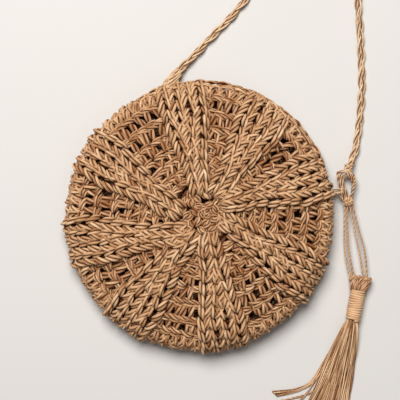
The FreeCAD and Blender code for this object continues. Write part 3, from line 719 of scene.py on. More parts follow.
# Strap end loop, its tie to the rim, and the sewn left end

# Painted shade on the end loop and its eye
LOOP_PAINTED_SHADE = 0.45
LOOP_PLY_RADIUS = 0.0005
EYE_LOBE_PLACES = [
    (0.0085, -0.0042, 0.001),
    (0.0156, -0.0022, 0.0018),
    (0.0158, 0.0066, 0.002),
    (0.0095, 0.0054, 0.0022),
    (0.003, 0.0026, 0.0024),
    (-0.0042, -0.0005, 0.0012),
]
EYE_LEG_PLACES = [
    (0.0145, -0.0032, 0.0005),
    (0.011, -0.0048, 0.0018),
    (0.005, -0.0046, 0.0018),
    (-0.002, -0.003, 0.0006),
]
EYE_SHIFTS = (-0.0014, 0, 0.0013)
EYE_TURNS = 3
LOOP_STRAND_OFFSET = 0.00075
LOOP_BEND_POINTS = 13
LOOP_STRAIGHT_POINTS = 8
LOOP_TURNS = 9
RIM_TIE_PLACE_SHARES = (0.15, 0.4)
RIM_TIE_WRAP = 0.0022
RIM_TIE_ROOT_RADIUS = 0.087
RIM_TIE_RUN_POINTS = 6
RIM_TIE_WRAP_POINTS = 9
RIM_TIE_TWISTS = 4
ANCHOR_ROOT_RADIUS = 0.0885
ANCHOR_ROOT_ANGLES = (127.8, 130, 132, 134, 136, 138.4)
ANCHOR_ROOT_HEIGHT = 0.0105
ANCHOR_REACH = 0.013
ANCHOR_TIP_SPACING = 0.0008
ANCHOR_LIFT = 0.0022
ANCHOR_BEND_SHARE = 0.35
ANCHOR_POINTS = 13
ANCHOR_TWISTS = 2


def loop_path():
    """The closed centreline of the end loop."""

    def bend(centre, first_degrees):
        angles = np.linspace(first_degrees, first_degrees + 180, LOOP_BEND_POINTS)
        return [centre + polar(LOOP_BEND, angle) for angle in angles]

    def straight(first, last):
        shares = np.linspace(0, 1, LOOP_STRAIGHT_POINTS)[1:-1]
        return [first + (last - first) * share for share in shares]

    far = bend(LOOP_FAR_CENTRE, LOOP_ANGLE - 90)
    near = bend(LOOP_CENTRE, LOOP_ANGLE + 90)
    points = far + straight(far[-1], near[0]) + near + straight(near[-1], far[0]) + [far[0]]
    return np.array(points)


def loop_weave(angle):
    return LOOP_STRAND_OFFSET * np.cos(angle), LOOP_STRAND_OFFSET * np.sin(angle)


def eye_strand(places, shift):
    """A strand through places given along and beside the end loop, from its near bend."""
    route = []
    for along, beside, up in places:
        route.append(LOOP_CENTRE + LOOP_DIRECTION * along + LOOP_SIDE * (beside + shift) + UP * up)
    return spline_points(route)


# The end loop's strands carry painted shade
loop_yarn = free_yarn(LOOP_PLY_RADIUS, depth=LOOP_PAINTED_SHADE)
loop_points = loop_path()
loop_turns = LOOP_TURNS * np.linspace(0, 1, len(loop_points))[None]
loop_yarn.add(wound_strands(loop_points, PAIR, loop_turns, loop_weave), UP, turns=PAIR * LOOP_TURNS)
for shift in EYE_SHIFTS:
    loop_yarn.add(eye_strand(EYE_LOBE_PLACES, shift)[None], UP, turns=EYE_TURNS)
loop_yarn.add(eye_strand(EYE_LEG_PLACES, 0)[None], UP, turns=EYE_TURNS)
add_piece(loop_yarn, "strap_end_loop_strands", "bag", "straw_cord", "strap_end_loop")


def rim_tie_paths():
    """Strands from inside the rim, round the near leg of the end loop and back."""
    paths = []
    for share in RIM_TIE_PLACE_SHARES:
        leg = LOOP_CENTRE + LOOP_SIDE * LOOP_BEND + LOOP_DIRECTION * LOOP_STRAIGHT * share
        outward = unit(leg * np.array((1, 1, 0)))
        root = outward * RIM_TIE_ROOT_RADIUS
        run = np.linalg.norm((leg - root)[:2])
        points = []
        for back in np.linspace(1, 0, RIM_TIE_RUN_POINTS)[:-1]:
            points.append(leg - outward * run * back + UP * RIM_TIE_WRAP)
        for angle in np.linspace(0, 180, RIM_TIE_WRAP_POINTS):
            turn = polar(RIM_TIE_WRAP, angle)
            points.append(leg + outward * turn[1] + UP * turn[0])
        for back in np.linspace(0, 1, RIM_TIE_RUN_POINTS)[1:]:
            points.append(leg - outward * run * back - UP * RIM_TIE_WRAP)
        paths.append(points)
    return np.array(paths)


rim_tie_yarn = free_yarn(LOOP_PLY_RADIUS)
rim_tie_yarn.add(rim_tie_paths(), LOOP_DIRECTION, turns=RIM_TIE_TWISTS)
add_piece(rim_tie_yarn, "rim_tie_strands", "bag", "straw_cord", "rim_tie")


def anchor_paths():
    """Strands of the strap's end that spread and go in under the rim's stitches."""
    shares = np.linspace(0, 1, ANCHOR_POINTS)[:, None]
    toward = unit(left_axis)
    aside = unit(np.cross(UP, toward))
    spreads = centred(len(ANCHOR_ROOT_ANGLES), ANCHOR_TIP_SPACING)
    paths = []
    for degrees, spread in zip(ANCHOR_ROOT_ANGLES, spreads):
        tip = LEFT_KNOT + toward * ANCHOR_REACH + aside * spread
        root = polar(ANCHOR_ROOT_RADIUS, degrees, ANCHOR_ROOT_HEIGHT)
        knot_side = LEFT_KNOT + aside * spread + UP * ANCHOR_LIFT
        middle = knot_side + (root - knot_side) * ANCHOR_BEND_SHARE
        paths.append((1 - shares) ** 2 * tip + 2 * shares * (1 - shares) * middle + shares**2 * root)
    return np.array(paths)


anchor_yarn = free_yarn(KNOT_PLY_RADIUS)
anchor_strands = anchor_paths()
anchor_yarn.add(anchor_strands, UP, turns=ANCHOR_TWISTS)
add_bending_piece(
    anchor_yarn, "strap_left_strands", "straw_cord", "strap_left_anchor"
)

# Tassel

HITCH_ANGLE = -49.5
HITCH_RING_ANGLES = (-31, -11, 11, 31)
HITCH_RING_RADIUS = 0.0022
HITCH_PLY_RADIUS = 0.0005
HITCH_BAR_RADIUS = 0.0034
HITCH_BAR_ANGLES = (35, 62)
HITCH_POINTS = 19
HITCH_RING_TWISTS = 3
HITCH_BAR_TWISTS = 2
CORD_PLY_RADIUS = 0.00042
CORD_START = 0.0024
CORD_SPACING = 0.00175
CORD_TWIST = 0.006
TASSEL_CORD_ROUTES = [
    [(0.0916, 0.0389, 0.0066), (0.1002, 0.0245, 0.0062), (0.1106, 0.0136, 0.006)],
    [(0.0938, 0.0396, 0.0066), (0.1026, 0.0262, 0.0062), (0.1129, 0.0148, 0.006)],
    [(0.0978, 0.0426, 0.0066), (0.1086, 0.0312, 0.0062), (0.1189, 0.0173, 0.006)],
    [(0.1005, 0.044, 0.0066), (0.1122, 0.033, 0.0062), (0.1213, 0.0181, 0.006)],
]
TASSEL_CORD_LENGTHS = (0.0515, 0.0515, 0.0535, 0.0545)
STRAY_ROUTES = [
    [
        (0.1239, -0.0281, 0.0042),
        (0.1248, -0.0436, 0.0009),
        (0.1249, -0.0615, 0.0009),
        (0.1157, -0.073, 0.0009),
        (0.1029, -0.0813, 0.0009),
    ],
    [
        (0.1252, -0.0297, 0.002),
        (0.1275, -0.0438, 0.0009),
        (0.1295, -0.0642, 0.0009),
        (0.1203, -0.0755, 0.0009),
        (0.1075, -0.086, 0.0009),
    ],
]
STRAY_STARTS = ((-0.0032, 0.0), (-0.0024, -0.0014))
STRAY_LENGTHS = (0.0802, 0.0843)
STRAND_DIAMETER = 0.00145
STRAND_PLY_RADIUS = 0.0004
TASSEL_PLACE = np.array((0.1163, 0.0179, 0.0058))
TASSEL_ANGLE = -71.5
TASSEL_ALONG = polar(1, TASSEL_ANGLE)
TASSEL_ACROSS = polar(1, TASSEL_ANGLE + 90)
HEAD_LENGTH = 0.01
HEAD_TOP = 0.0005
HEAD_HALF_WIDTH = 0.0068
HEAD_LAYERS = ((-0.0026, 5), (0.0, 6), (0.0026, 6))
HEAD_LOOP_WIDTH = 0.0009
HEAD_POINTS = 17
HEAD_TWISTS = 3
HEAD_RISE_POWER = 0.55
HEAD_NARROW_SHARE = 0.12
HEAD_ROOT_SHARE = 0.75
HEAD_FAN_SHARE = 0.35
HEAD_PLY_RADIUS = 0.00058
HEAD_TONE = -2
# Painted shade on the head's loops
HEAD_PAINTED_SHADE = 0.26
NECK_LENGTH = 0.0205
NECK_TOP_RADIUS = 0.0043
NECK_BOTTOM_RADIUS = 0.00395
WRAP_RADIUS = 0.0008
WRAP_PITCH = 0.00155
WRAP_TILT = 0.0005
WRAP_WAVES = 1.5
WRAP_FLATS = 8
WRAP_POINTS_PER_TURN = 20
SKIRT_LENGTH = 0.076
SKIRT_STRANDS = 54
SKIRT_SPREAD = 3.2
SKIRT_SPREAD_POWER = 0.65
SKIRT_PLY_RADIUS = 0.00045
SKIRT_TONE = 1.2
SKIRT_TONE_RANGE = 2.6
SKIRT_BOW = -0.002
SKIRT_LEAN = -0.013
SKIRT_LEAN_POWER = 2
BUNDLE_SHARES = (0.3, 0.86, 0.92, 0.98, 1.03)
SKIRT_DROP = 0.0048
SKIRT_POINTS = 15
SKIRT_WAVE = 0.0012
SKIRT_WAVE_SHARES = (0.8, 1.6)
SKIRT_LENGTH_JITTER = 0.0035
SKIRT_LENGTH_JITTER_SHARES = (-2, 1)
SKIRT_ANGLE_SHARE = 0.382
SKIRT_FLATTEN_SHARE = 0.25
SKIRT_DROP_RATE = 2.2
SKIRT_DROP_POWER = 1.5
SKIRT_START_RADIUS = 0.0034
NECK_END = HEAD_LENGTH + NECK_LENGTH
STRAND_SEAT = 0.001


def tassel_point(distance, across, up):
    """A point given along, across and above the tassel's own line."""
    distance, across, up = np.broadcast_arrays(distance, across, up)
    place = distance[..., None] * TASSEL_ALONG + across[..., None] * TASSEL_ACROSS
    return TASSEL_PLACE + place + up[..., None] * UP


def hitch_paths():
    """A lark's head: two pairs of turns round the end loop's bend under two bars."""
    angles = np.radians(np.linspace(0, 360, HITCH_POINTS))[:, None]
    rings = []
    for offset in HITCH_RING_ANGLES:
        outward = polar(1, HITCH_ANGLE + offset)
        ring = np.cos(angles) * outward + np.sin(angles) * UP
        rings.append(LOOP_CENTRE + outward * LOOP_BEND + HITCH_RING_RADIUS * ring)
    bars = []
    for angle in HITCH_BAR_ANGLES:
        tilt = polar(HITCH_BAR_RADIUS, angle)
        path = []
        for offset in np.linspace(HITCH_RING_ANGLES[0], HITCH_RING_ANGLES[-1], HITCH_POINTS):
            outward = polar(1, HITCH_ANGLE + offset)
            path.append(LOOP_CENTRE + outward * (LOOP_BEND + tilt[0]) + UP * tilt[1])
        bars.append(path)
    return np.array(rings), np.array(bars)


hitch_yarn = free_yarn(HITCH_PLY_RADIUS)
hitch_rings, hitch_bars = hitch_paths()
hitch_yarn.add(hitch_rings, polar(1, HITCH_ANGLE + 90), turns=HITCH_RING_TWISTS)
hitch_yarn.add(hitch_bars, UP, turns=HITCH_BAR_TWISTS)
add_piece(hitch_yarn, "tassel_larks_head", "hitch", "straw_tassel", "tassel_hitch")


def add_tassel_cord(name, node, route, ply_radius, length):
    """One twisted cord of the tassel along a route; gives its centreline."""
    points = spline_points(route)
    yarn = free_yarn(ply_radius)
    yarn.add(points[None], UP, turns=length / CORD_TWIST)
    add_piece(yarn, name, "tassel", "straw_tassel", node)
    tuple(route[0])
    return points


hitch_centre = LOOP_CENTRE + polar(LOOP_BEND, HITCH_ANGLE)
cord_offsets = centred(len(TASSEL_CORD_ROUTES), CORD_SPACING)
for index, (route, length) in enumerate(zip(TASSEL_CORD_ROUTES, TASSEL_CORD_LENGTHS)):
    aside = polar(cord_offsets[index], HITCH_ANGLE + 90)
    start = hitch_centre + polar(CORD_START, HITCH_ANGLE) + aside
    name = f"tassel_cord_strand_{index + 1}"
    node = f"tassel_cord_{index + 1}"
    add_tassel_cord(name, node, [start, *route], CORD_PLY_RADIUS, length)

stray_points = []
for index, (route, length) in enumerate(zip(STRAY_ROUTES, STRAY_LENGTHS)):
    whole_route = [tassel_point(NECK_END - STRAND_SEAT, *STRAY_STARTS[index]), *route]
    name = f"tassel_stray_strand_{index + 1}"
    node = "tassel_stray_strands"
    points = add_tassel_cord(name, node, whole_route, STRAND_PLY_RADIUS, length)
    stray_points.append(points)


def head_loops():
    """Strands that come up from the neck, bend over at the top and go back."""
    share = np.linspace(0, 1, HEAD_POINTS)
    rise = np.sin(np.pi * share) ** HEAD_RISE_POWER
    paths = []
    for up, count in HEAD_LAYERS:
        for place in np.linspace(-1, 1, count):
            width = HEAD_HALF_WIDTH * (1 - HEAD_NARROW_SHARE * abs(up) / HEAD_LAYERS[-1][0])
            across = place * (width * rise + NECK_TOP_RADIUS * HEAD_ROOT_SHARE * (1 - rise))
            across = across - HEAD_LOOP_WIDTH * np.cos(np.pi * share)
            top = HEAD_TOP + chance.uniform(-1, 1) * ALONG_JITTER
            distance = HEAD_LENGTH + WRAP_PITCH - rise * (HEAD_LENGTH + WRAP_PITCH - top)
            paths.append(tassel_point(distance, across, up * (HEAD_ROOT_SHARE + HEAD_FAN_SHARE * rise)))
    return np.array(paths)


# The head's loops carry painted shade
head_yarn = free_yarn(HEAD_PLY_RADIUS, tone=HEAD_TONE, depth=HEAD_PAINTED_SHADE)
head_yarn.add(head_loops(), UP, turns=HEAD_TWISTS)
add_piece(head_yarn, "tassel_head_loops", "tassel", "straw_tassel", "tassel_head")


def neck_winding():
    """One yarn wound closely down the neck."""
    turns = NECK_LENGTH / WRAP_PITCH
    share = np.linspace(0, 1, round(turns * WRAP_POINTS_PER_TURN))
    angle = TURN * turns * share
    radius = NECK_TOP_RADIUS + (NECK_BOTTOM_RADIUS - NECK_TOP_RADIUS) * share + WRAP_RADIUS / 2
    tilt = WRAP_TILT * np.cos(angle) * np.sin(TURN * WRAP_WAVES * share)
    distance = HEAD_LENGTH + NECK_LENGTH * share + tilt
    return tassel_point(distance, radius * np.cos(angle), radius * np.sin(angle))[None]


wrap_yarn = Yarn(WRAP_RADIUS, ply_count=1, flats=WRAP_FLATS, tone_range=0)
wrap_yarn.add(neck_winding(), TASSEL_ALONG)
add_piece(wrap_yarn, "tassel_neck_winding", "tassel", "straw_tassel", "tassel_neck_wrap", "tassel_core")


def skirt_strands():
    """Loose ends that fan out from the neck and settle on the table."""
    share = np.linspace(0, 1, SKIRT_POINTS)
    paths = []
    for index in range(SKIRT_STRANDS):
        angle = index * TURN * SKIRT_ANGLE_SHARE
        reach = SKIRT_START_RADIUS * math.sqrt((index + 0.5) / SKIRT_STRANDS)
        across = reach * math.cos(angle)
        up = reach * math.sin(angle)
        length = SKIRT_LENGTH + chance.uniform(*SKIRT_LENGTH_JITTER_SHARES) * SKIRT_LENGTH_JITTER
        wave = chance.normal(0, SKIRT_WAVE) * np.sin(np.pi * share * chance.uniform(*SKIRT_WAVE_SHARES))
        leftness = (1 - across / SKIRT_START_RADIUS) / 2
        lean = SKIRT_BOW + SKIRT_LEAN * leftness**SKIRT_LEAN_POWER
        fan = across * (1 + (SKIRT_SPREAD - 1) * share**SKIRT_SPREAD_POWER) + lean * share**2 + wave
        drop = SKIRT_DROP * np.clip(SKIRT_DROP_RATE * share, 0, 1) ** SKIRT_DROP_POWER
        settle = up * (1 - SKIRT_FLATTEN_SHARE * share) - drop
        floor = STRAND_DIAMETER / 2 - TASSEL_PLACE[2]
        settle = np.maximum(settle, floor + abs(chance.normal(0, ALONG_JITTER)))
        paths.append(tassel_point(NECK_END - STRAND_SEAT + length * share, fan, settle))
    return np.array(paths)


def bundle_strands(straight, stray):
    """Strands between the skirt's edge and a stray one, each bent a little more than the last."""
    places = np.linspace(0, 1, SKIRT_POINTS)
    run = path_lengths(stray[None])[0]
    stray = np.stack([np.interp(places * run[-1], run, values) for values in stray.T], axis=1)
    paths = []
    for share in BUNDLE_SHARES:
        wave = chance.normal(0, SKIRT_WAVE) * np.sin(np.pi * places)[:, None]
        paths.append(straight + (stray - straight) * share + wave * TASSEL_ACROSS)
    return np.array(paths)


skirt_yarn = free_yarn(SKIRT_PLY_RADIUS, flats=LIGHT_FLATS, tone=SKIRT_TONE, tone_range=SKIRT_TONE_RANGE)
skirt_paths = skirt_strands()
left_most = skirt_paths[np.argmin((skirt_paths[:, -1] - TASSEL_PLACE) @ TASSEL_ACROSS)]
skirt_yarn.add(skirt_paths, UP, turns=SKIRT_LENGTH / CORD_TWIST)
skirt_yarn.add(bundle_strands(left_most, stray_points[0]), UP, turns=SKIRT_LENGTH / CORD_TWIST)
add_piece(skirt_yarn, "tassel_skirt_strands", "tassel", "straw_tassel", "tassel_skirt", straw="straw_skirt")

# Crocheted panels


def arc_rows(centre, radius, first_degrees, last_degrees, count):
    """Rows of radius, height, outward and upward along an arc of the bag's section."""
    angles = np.radians(np.linspace(first_degrees, last_degrees, count))
    outward = np.cos(angles)
    upward = np.sin(angles)
    return np.stack([centre[0] + radius * outward, centre[1] + radius * upward, outward, upward], axis=1)


def arc_radius(half_width, rise):
    """Radius of the arc that rises so far in the middle of so wide a chord."""
    return (half_width**2 + rise**2) / (2 * rise)


class Section:
    """The line that a panel's stitches follow from the middle of the bag to its edge."""

    def __init__(self, rows):
        self.rows = rows
        steps = np.hypot(np.diff(rows[:, 0]), np.diff(rows[:, 1]))
        self.along = np.concatenate([[0], np.cumsum(steps)])

    def at(self, along):
        return [np.interp(along, self.along, column) for column in self.rows.T]

    def along_at(self, radius):
        rising = np.argmax(self.rows[:, 0]) + 1
        return np.interp(radius, self.rows[:rising, 0], self.along[:rising])


def front_section():
    edge_radius = BAG_RADIUS - FRONT_RIM_WIDTH
    edge_height = CROWN_HEIGHT - CROWN_DROP
    crown_radius = arc_radius(edge_radius, CROWN_DROP)
    slope = math.asin(edge_radius / crown_radius)
    inward = np.array((-math.sin(slope), -math.cos(slope)))
    chord = np.array((FRONT_RIM_WIDTH, FRONT_RIM_HEIGHT - edge_height))
    rim_radius = chord.dot(chord) / (2 * chord.dot(inward))
    rim_centre = np.array((edge_radius, edge_height)) + inward * rim_radius
    rim_turn = 2 * math.asin(math.hypot(*chord) / (2 * rim_radius))
    crown_end = 90 - math.degrees(slope)
    crown = arc_rows((0, CROWN_HEIGHT - crown_radius), crown_radius, 90, crown_end, CROWN_POINTS)
    rim_end = crown_end - math.degrees(rim_turn)
    rim = arc_rows(rim_centre, rim_radius, crown_end, rim_end, RIM_POINTS)
    half_height = (FRONT_RIM_HEIGHT - BACK_RIM_HEIGHT) / 2
    seam_radius = arc_radius(half_height, SEAM_BULGE)
    seam_centre = (BAG_RADIUS + SEAM_BULGE - seam_radius, BACK_RIM_HEIGHT + half_height)
    seam_half = math.degrees(math.asin(half_height / seam_radius))
    seam = arc_rows(seam_centre, seam_radius, seam_half, -seam_half, SEAM_POINTS)
    rows = np.concatenate([crown, rim[1:], seam[1:]])
    rows[:, :2] -= FRONT_INSET * rows[:, 2:]
    return Section(rows)


def back_section():
    rim_radius = arc_radius(BACK_RIM_WIDTH, BACK_RIM_HEIGHT)
    turn = 2 * math.degrees(math.atan(BACK_RIM_HEIGHT / BACK_RIM_WIDTH))
    flat_radius = BAG_RADIUS - BACK_RIM_WIDTH
    flat = np.array([(0, BACK_INSET, 0, -1), (flat_radius, BACK_INSET, 0, -1)], dtype=float)
    rim = arc_rows((flat_radius, rim_radius), rim_radius - BACK_INSET, -90, turn - 90, RIM_POINTS)
    return Section(np.concatenate([flat, rim[1:]]))


def panel_points(section, along, bearing, across, height):
    """Points and outward directions for places along the section, at a bearing, across it and above it."""
    radius, level, outward, upward = section.at(along)
    reach = radius + height * outward
    cosine = np.cos(bearing)
    sine = np.sin(bearing)
    shift = np.clip(1 - radius / BAG_RADIUS, 0, 1)
    x = reach * cosine - across * sine + HUB_OFFSET[0] * shift
    y = reach * sine + across * cosine + HUB_OFFSET[1] * shift
    z = level + height * upward
    points = np.stack(np.broadcast_arrays(x, y, z), axis=-1)
    normals = np.stack(np.broadcast_arrays(outward * cosine, outward * sine, upward), axis=-1)
    return points, normals


LEG_SHARE = np.linspace(0, 1, LEG_POINTS)[None, :]
LEG_SPREAD = V_ROOT + V_SPREAD * LEG_SHARE**V_SPREAD_POWER
LEG_RISE = V_LIFT * np.sin(np.pi * LEG_SHARE) ** V_LIFT_POWER - V_END_DIP * LEG_SHARE**2


def jitter(count, size):
    return chance.normal(0, size, (count, 1))


def chain_legs(count):
    """The two sides of a chain's V stitches, each with how far its legs are off along, across and up."""
    for side in (-1, 1):
        yield side, *(jitter(count, size) for size in (ALONG_JITTER, ACROSS_JITTER, HEIGHT_JITTER))


def chain_column(yarn, section, bearing, line, first, last_start, level):
    """A column of V stitches with their tips outward; line gives its offset from its bearing."""
    count = max(round((last_start - first) / V_PITCH), 0) + 1
    starts = np.linspace(first, last_start, count)[:, None]
    for side, along_off, across_off, height_off in chain_legs(count):
        along = starts + along_off + V_LENGTH * (1 - LEG_SHARE)
        narrow = np.interp(along, (RIB_START, NARROW_END), (NARROW_SHARE, 1))
        across = np.interp(along, *line) + side * narrow * LEG_SPREAD + across_off
        sink = np.interp(along, RIM_SINK_RUN, (0, RIM_SINK))
        height = level - sink + LEG_RISE + height_off
        yarn.add(*panel_points(section, along, bearing, across, height))


def rib_lines(section):
    """Offsets of a rib's four columns: two from the hub that draw apart as the others come in between."""
    first_turn = section.along_at(MIDDLE_COLUMN_START)
    second_turn = section.along_at(FOURTH_COLUMN_START)
    start = section.along_at(RIB_START)
    turns = [first_turn - V_PITCH, first_turn + V_PITCH, second_turn - V_PITCH, second_turn + V_PITCH]
    knots = [start, section.along_at(NARROW_END), *turns]
    outer = COLUMN_SPACING * np.array(RIB_OUTER_SHARES)
    return [
        (start, knots, -outer),
        (start, knots, outer),
        (first_turn - V_PITCH, knots, COLUMN_SPACING * np.array(RIB_MIDDLE_SHARES)),
        (second_turn - V_PITCH, knots, COLUMN_SPACING * np.array(RIB_FOURTH_SHARES)),
    ]


def at_mouth(degrees):
    return MOUTH_BEARINGS[0] <= degrees % 360 <= MOUTH_BEARINGS[1]


def last_start_at(degrees, short):
    """Where a column's last stitch starts: sooner at the mouth, and everywhere on a short panel."""
    return MOUTH_LAST_START if short or at_mouth(degrees) else RIM_LAST_START


def lean_share(radius):
    """How much of a rib's lean is left at a radius, or as far along the section: none at the rim."""
    return np.interp(radius, (RIB_START, LEAN_END), (1, 0))


def add_ribs(yarn, section, short):
    """Four chain columns for each rib."""
    leans_end = section.along_at(LEAN_END)
    for degrees, lean in zip(RIB_BEARINGS, RIB_LEANS):
        bearing = math.radians(degrees)
        for start, knots, offsets in rib_lines(section):
            column_degrees = degrees + math.degrees(offsets[-1] / BAG_RADIUS)
            last_start = last_start_at(column_degrees, short)
            places = np.append(knots, leans_end)
            line = (places, np.append(offsets, offsets[-1]) + lean * lean_share(places))
            chain_column(yarn, section, bearing, line, start, last_start, RIB_LEVEL)


def add_rib_beds(yarn, section):
    """Strands that lie along each rib under the gaps between its columns."""
    start, knots, offsets = rib_lines(section)[1]
    points = round((MOUTH_LAST_START - start) / BED_STEP)
    along = np.linspace(start, MOUTH_LAST_START, points)[None, :]
    for degrees, lean in zip(RIB_BEARINGS, RIB_LEANS):
        lean_across = lean * lean_share(along)
        for share in BED_SHARES:
            across = share * np.interp(along, knots, offsets) + lean_across
            strand = panel_points(section, along, math.radians(degrees), across, BED_LEVEL)
            yarn.add(*strand, turns=(MOUTH_LAST_START - start) / BAR_TURN)


def rib_middles(radius):
    """Bearings of the ribs at a radius; those that lean pass beside the hub."""
    share = lean_share(radius)
    return [math.radians(degrees) + lean * share / radius for degrees, lean in zip(RIB_BEARINGS, RIB_LEANS)]


def panel_spans(radius):
    """Bearings of the two ribs beside each panel at a radius."""
    middles = rib_middles(radius)
    return list(zip(middles, middles[1:] + [middles[0] + TURN]))


def add_rim(yarn, section, short):
    """Short chain columns that fill the rim between the ribs."""
    edge = RIB_OUTER_SHARES[-1] * COLUMN_SPACING / BAG_RADIUS
    step = RIM_SPACING / BAG_RADIUS
    line = ([0, 1], [0, 0])
    first = section.along_at(RIM_START)
    for left, right in panel_spans(BAG_RADIUS):
        count = round((right - left - 2 * edge) / step)
        for bearing in np.linspace(left + edge, right - edge, count + 1)[1:-1]:
            last_start = last_start_at(math.degrees(bearing), short)
            chain_column(yarn, section, bearing, line, first, last_start, RIM_LEVEL)


def rib_half_width(radius):
    columns = 2 + (radius > MIDDLE_COLUMN_START) + (radius > FOURTH_COLUMN_START)
    return columns * COLUMN_SPACING / 2


def add_row(yarn, section, radius, level, first, last):
    """Two strands side by side that run in waves round the bag between two bearings."""
    points = max(round((last - first) * radius / BAR_STEP), BAR_LEAST_POINTS)
    bearing = np.linspace(first, last, points)[None, :]
    run = (bearing - first) * radius
    sag = chance.normal(0, ALONG_JITTER)
    for side in (-1, 1):
        sway_turn, rise_turn = chance.uniform(0, 1, 2)
        sway_wave, rise_wave = chance.uniform(*BAR_WAVES, 2)
        sway = BAR_SWAY * np.sin(TURN * (run / sway_wave + sway_turn))
        along = section.along_at(radius) + sag + side * BAR_HALF_WIDTH + sway
        height = level + BAR_HALF_HEIGHT * np.sin(TURN * (run / rise_wave + rise_turn))
        yarn.add(*panel_points(section, along, bearing, 0, height), turns=run[0, -1] / BAR_TURN)


def chain_row(yarn, section, radius, level, first, last):
    """A chain of V stitches that lies across a panel between two bearings."""
    count = max(round((last - first - V_LENGTH / radius) * radius / V_PITCH), 0) + 1
    starts = np.linspace(first, last - V_LENGTH / radius, count)[:, None]
    sag = chance.normal(0, ALONG_JITTER)
    for side, along_off, across_off, height_off in chain_legs(count):
        bearing = starts + (V_LENGTH * (1 - LEG_SHARE) + along_off) / radius
        along = section.along_at(radius) + sag + side * LEG_SPREAD * BAR_SPREAD_SHARE + across_off
        height = level + LEG_RISE * BAR_RISE_SHARE + height_off
        yarn.add(*panel_points(section, along, bearing, 0, height))


def add_bars(yarn, section, radii, level):
    """Rows of chain across each panel."""
    for radius in radii:
        tuck = (rib_half_width(radius) - BAR_TUCK) / radius
        for left, right in panel_spans(radius):
            chain_row(yarn, section, radius, level, left + tuck, right - tuck)


def add_backing(yarn, section):
    """Rows behind the ribs, and all round behind the hub and the rim."""
    for radius in np.arange(BACKING_RADII[0], BACKING_RADII[1], BACKING_SPACING):
        if BACKING_OPEN[0] < radius < BACKING_OPEN[1]:
            half = (rib_half_width(radius) - BAR_TUCK) / radius
            for middle in rib_middles(radius):
                add_row(yarn, section, radius, BACKING_LEVEL, middle - half, middle + half)
        else:
            add_row(yarn, section, radius, BACKING_LEVEL, 0, TURN)


def add_posts(yarn, section):
    """Stitch legs between the rows, with open holes beside them."""
    outer_rows = list(BAR_RADII[1:]) + [RIM_START + V_PITCH]
    for radius, outer in zip(BAR_RADII, outer_rows):
        middle = (radius + outer) / 2
        tuck = rib_half_width(middle) / middle
        for left, right in panel_spans(middle):
            first = left + tuck
            last = right - tuck
            count = max(round((last - first) * middle / POST_SPACING), 1)
            bearings = first + (last - first) * (np.arange(count) + 0.5) / count
            bearings = bearings[:, None] + jitter(count, POST_SHIFT) / middle
            start = section.along_at(radius)
            end = section.along_at(outer)
            along = start + (end - start) * LEG_SHARE + jitter(count, ALONG_JITTER)
            across = jitter(count, POST_SHIFT) * (2 * LEG_SHARE - 1)
            bulge = np.sin(np.pi * LEG_SHARE) ** V_LIFT_POWER
            height = POST_LEVEL + POST_RISE * bulge + jitter(count, 2 * HEIGHT_JITTER)
            yarn.add(*panel_points(section, along, bearings, across, height))


def add_hub(yarn, section):
    """Short loops that the panel is worked from, lying all ways."""
    for start, count, level in HUB_RINGS:
        bearings = TURN * (np.arange(count)[:, None] + jitter(count, HUB_BEARING_JITTER_SHARE)) / count
        turns = chance.uniform(0, np.pi, (count, 1))
        for side in (-1, 1):
            run = HUB_LOOP_LENGTH * (LEG_SHARE - 0.5)
            aside = side * HUB_LOOP_WIDTH * np.sin(np.pi * LEG_SHARE) + jitter(count, ACROSS_JITTER)
            along = start + run * np.cos(turns) - aside * np.sin(turns)
            across = run * np.sin(turns) + aside * np.cos(turns)
            rise = HUB_LOOP_LIFT * np.sin(np.pi * LEG_SHARE) ** V_LIFT_POWER
            height = level + rise + jitter(count, 2 * HEIGHT_JITTER)
            yarn.add(*panel_points(section, np.abs(along), bearings, across, height))


def ring_chain(yarn, end_reach, level, normal_degrees, first_degrees, last_degrees, bulge=0):
    """A chain of V stitches that runs round the bag, further out by the bulge between its ends."""
    normal = math.radians(normal_degrees)
    first = math.radians(first_degrees)
    last = math.radians(last_degrees)
    count = round((last - first) * end_reach / V_PITCH)
    starts = np.linspace(first, last, count)[:, None]
    reach = end_reach + bulge * np.sin(np.pi * (starts - first) / (last - first)) ** BULGE_POWER
    spread = LEG_SPREAD * EDGE_SPREAD / V_SPREAD
    for side, along_off, across_off, height_off in chain_legs(count):
        bearing = starts + (V_LENGTH * LEG_SHARE + along_off) / reach
        across = side * spread + across_off
        height = (LEG_RISE - V_LIFT) * EDGE_LIFT_SHARE + height_off
        outward = np.stack([np.cos(bearing), np.sin(bearing), np.zeros_like(bearing)], axis=-1)
        radius = reach + height * math.cos(normal) - across * math.sin(normal)
        z = level + height * math.sin(normal) + across * math.cos(normal)
        points = radius[..., None] * outward + z[..., None] * UP
        yarn.add(points, math.cos(normal) * outward + math.sin(normal) * UP)


# The chains along the front's and the back's edges at the mouth, and along the seam
FRONT_EDGE_PLACE = (0.0872, 0.0185)
FRONT_EDGE_BULGE = 0.003
BACK_EDGE_PLACE = (0.0905, 0.0082)
BACK_EDGE_BULGE = 0.0022
BULGE_POWER = 0.5
SEAM_PLACES = ((0.0886, 0.0115), (0.0878, 0.0158), (0.0878, 0.0072))
FRONT_EDGE_NORMAL = 42
BACK_EDGE_NORMAL = -10
SEAM_NORMAL = -5

front = front_section()
back = back_section()


def front_piece(yarn, name, node):
    add_bending_piece(yarn, name, "straw_panel", node)


rib_yarn = Yarn(RIB_PLY_RADIUS, swell=STITCH_SWELL)
add_ribs(rib_yarn, front, False)
front_piece(rib_yarn, "front_ribs", "front_panel")

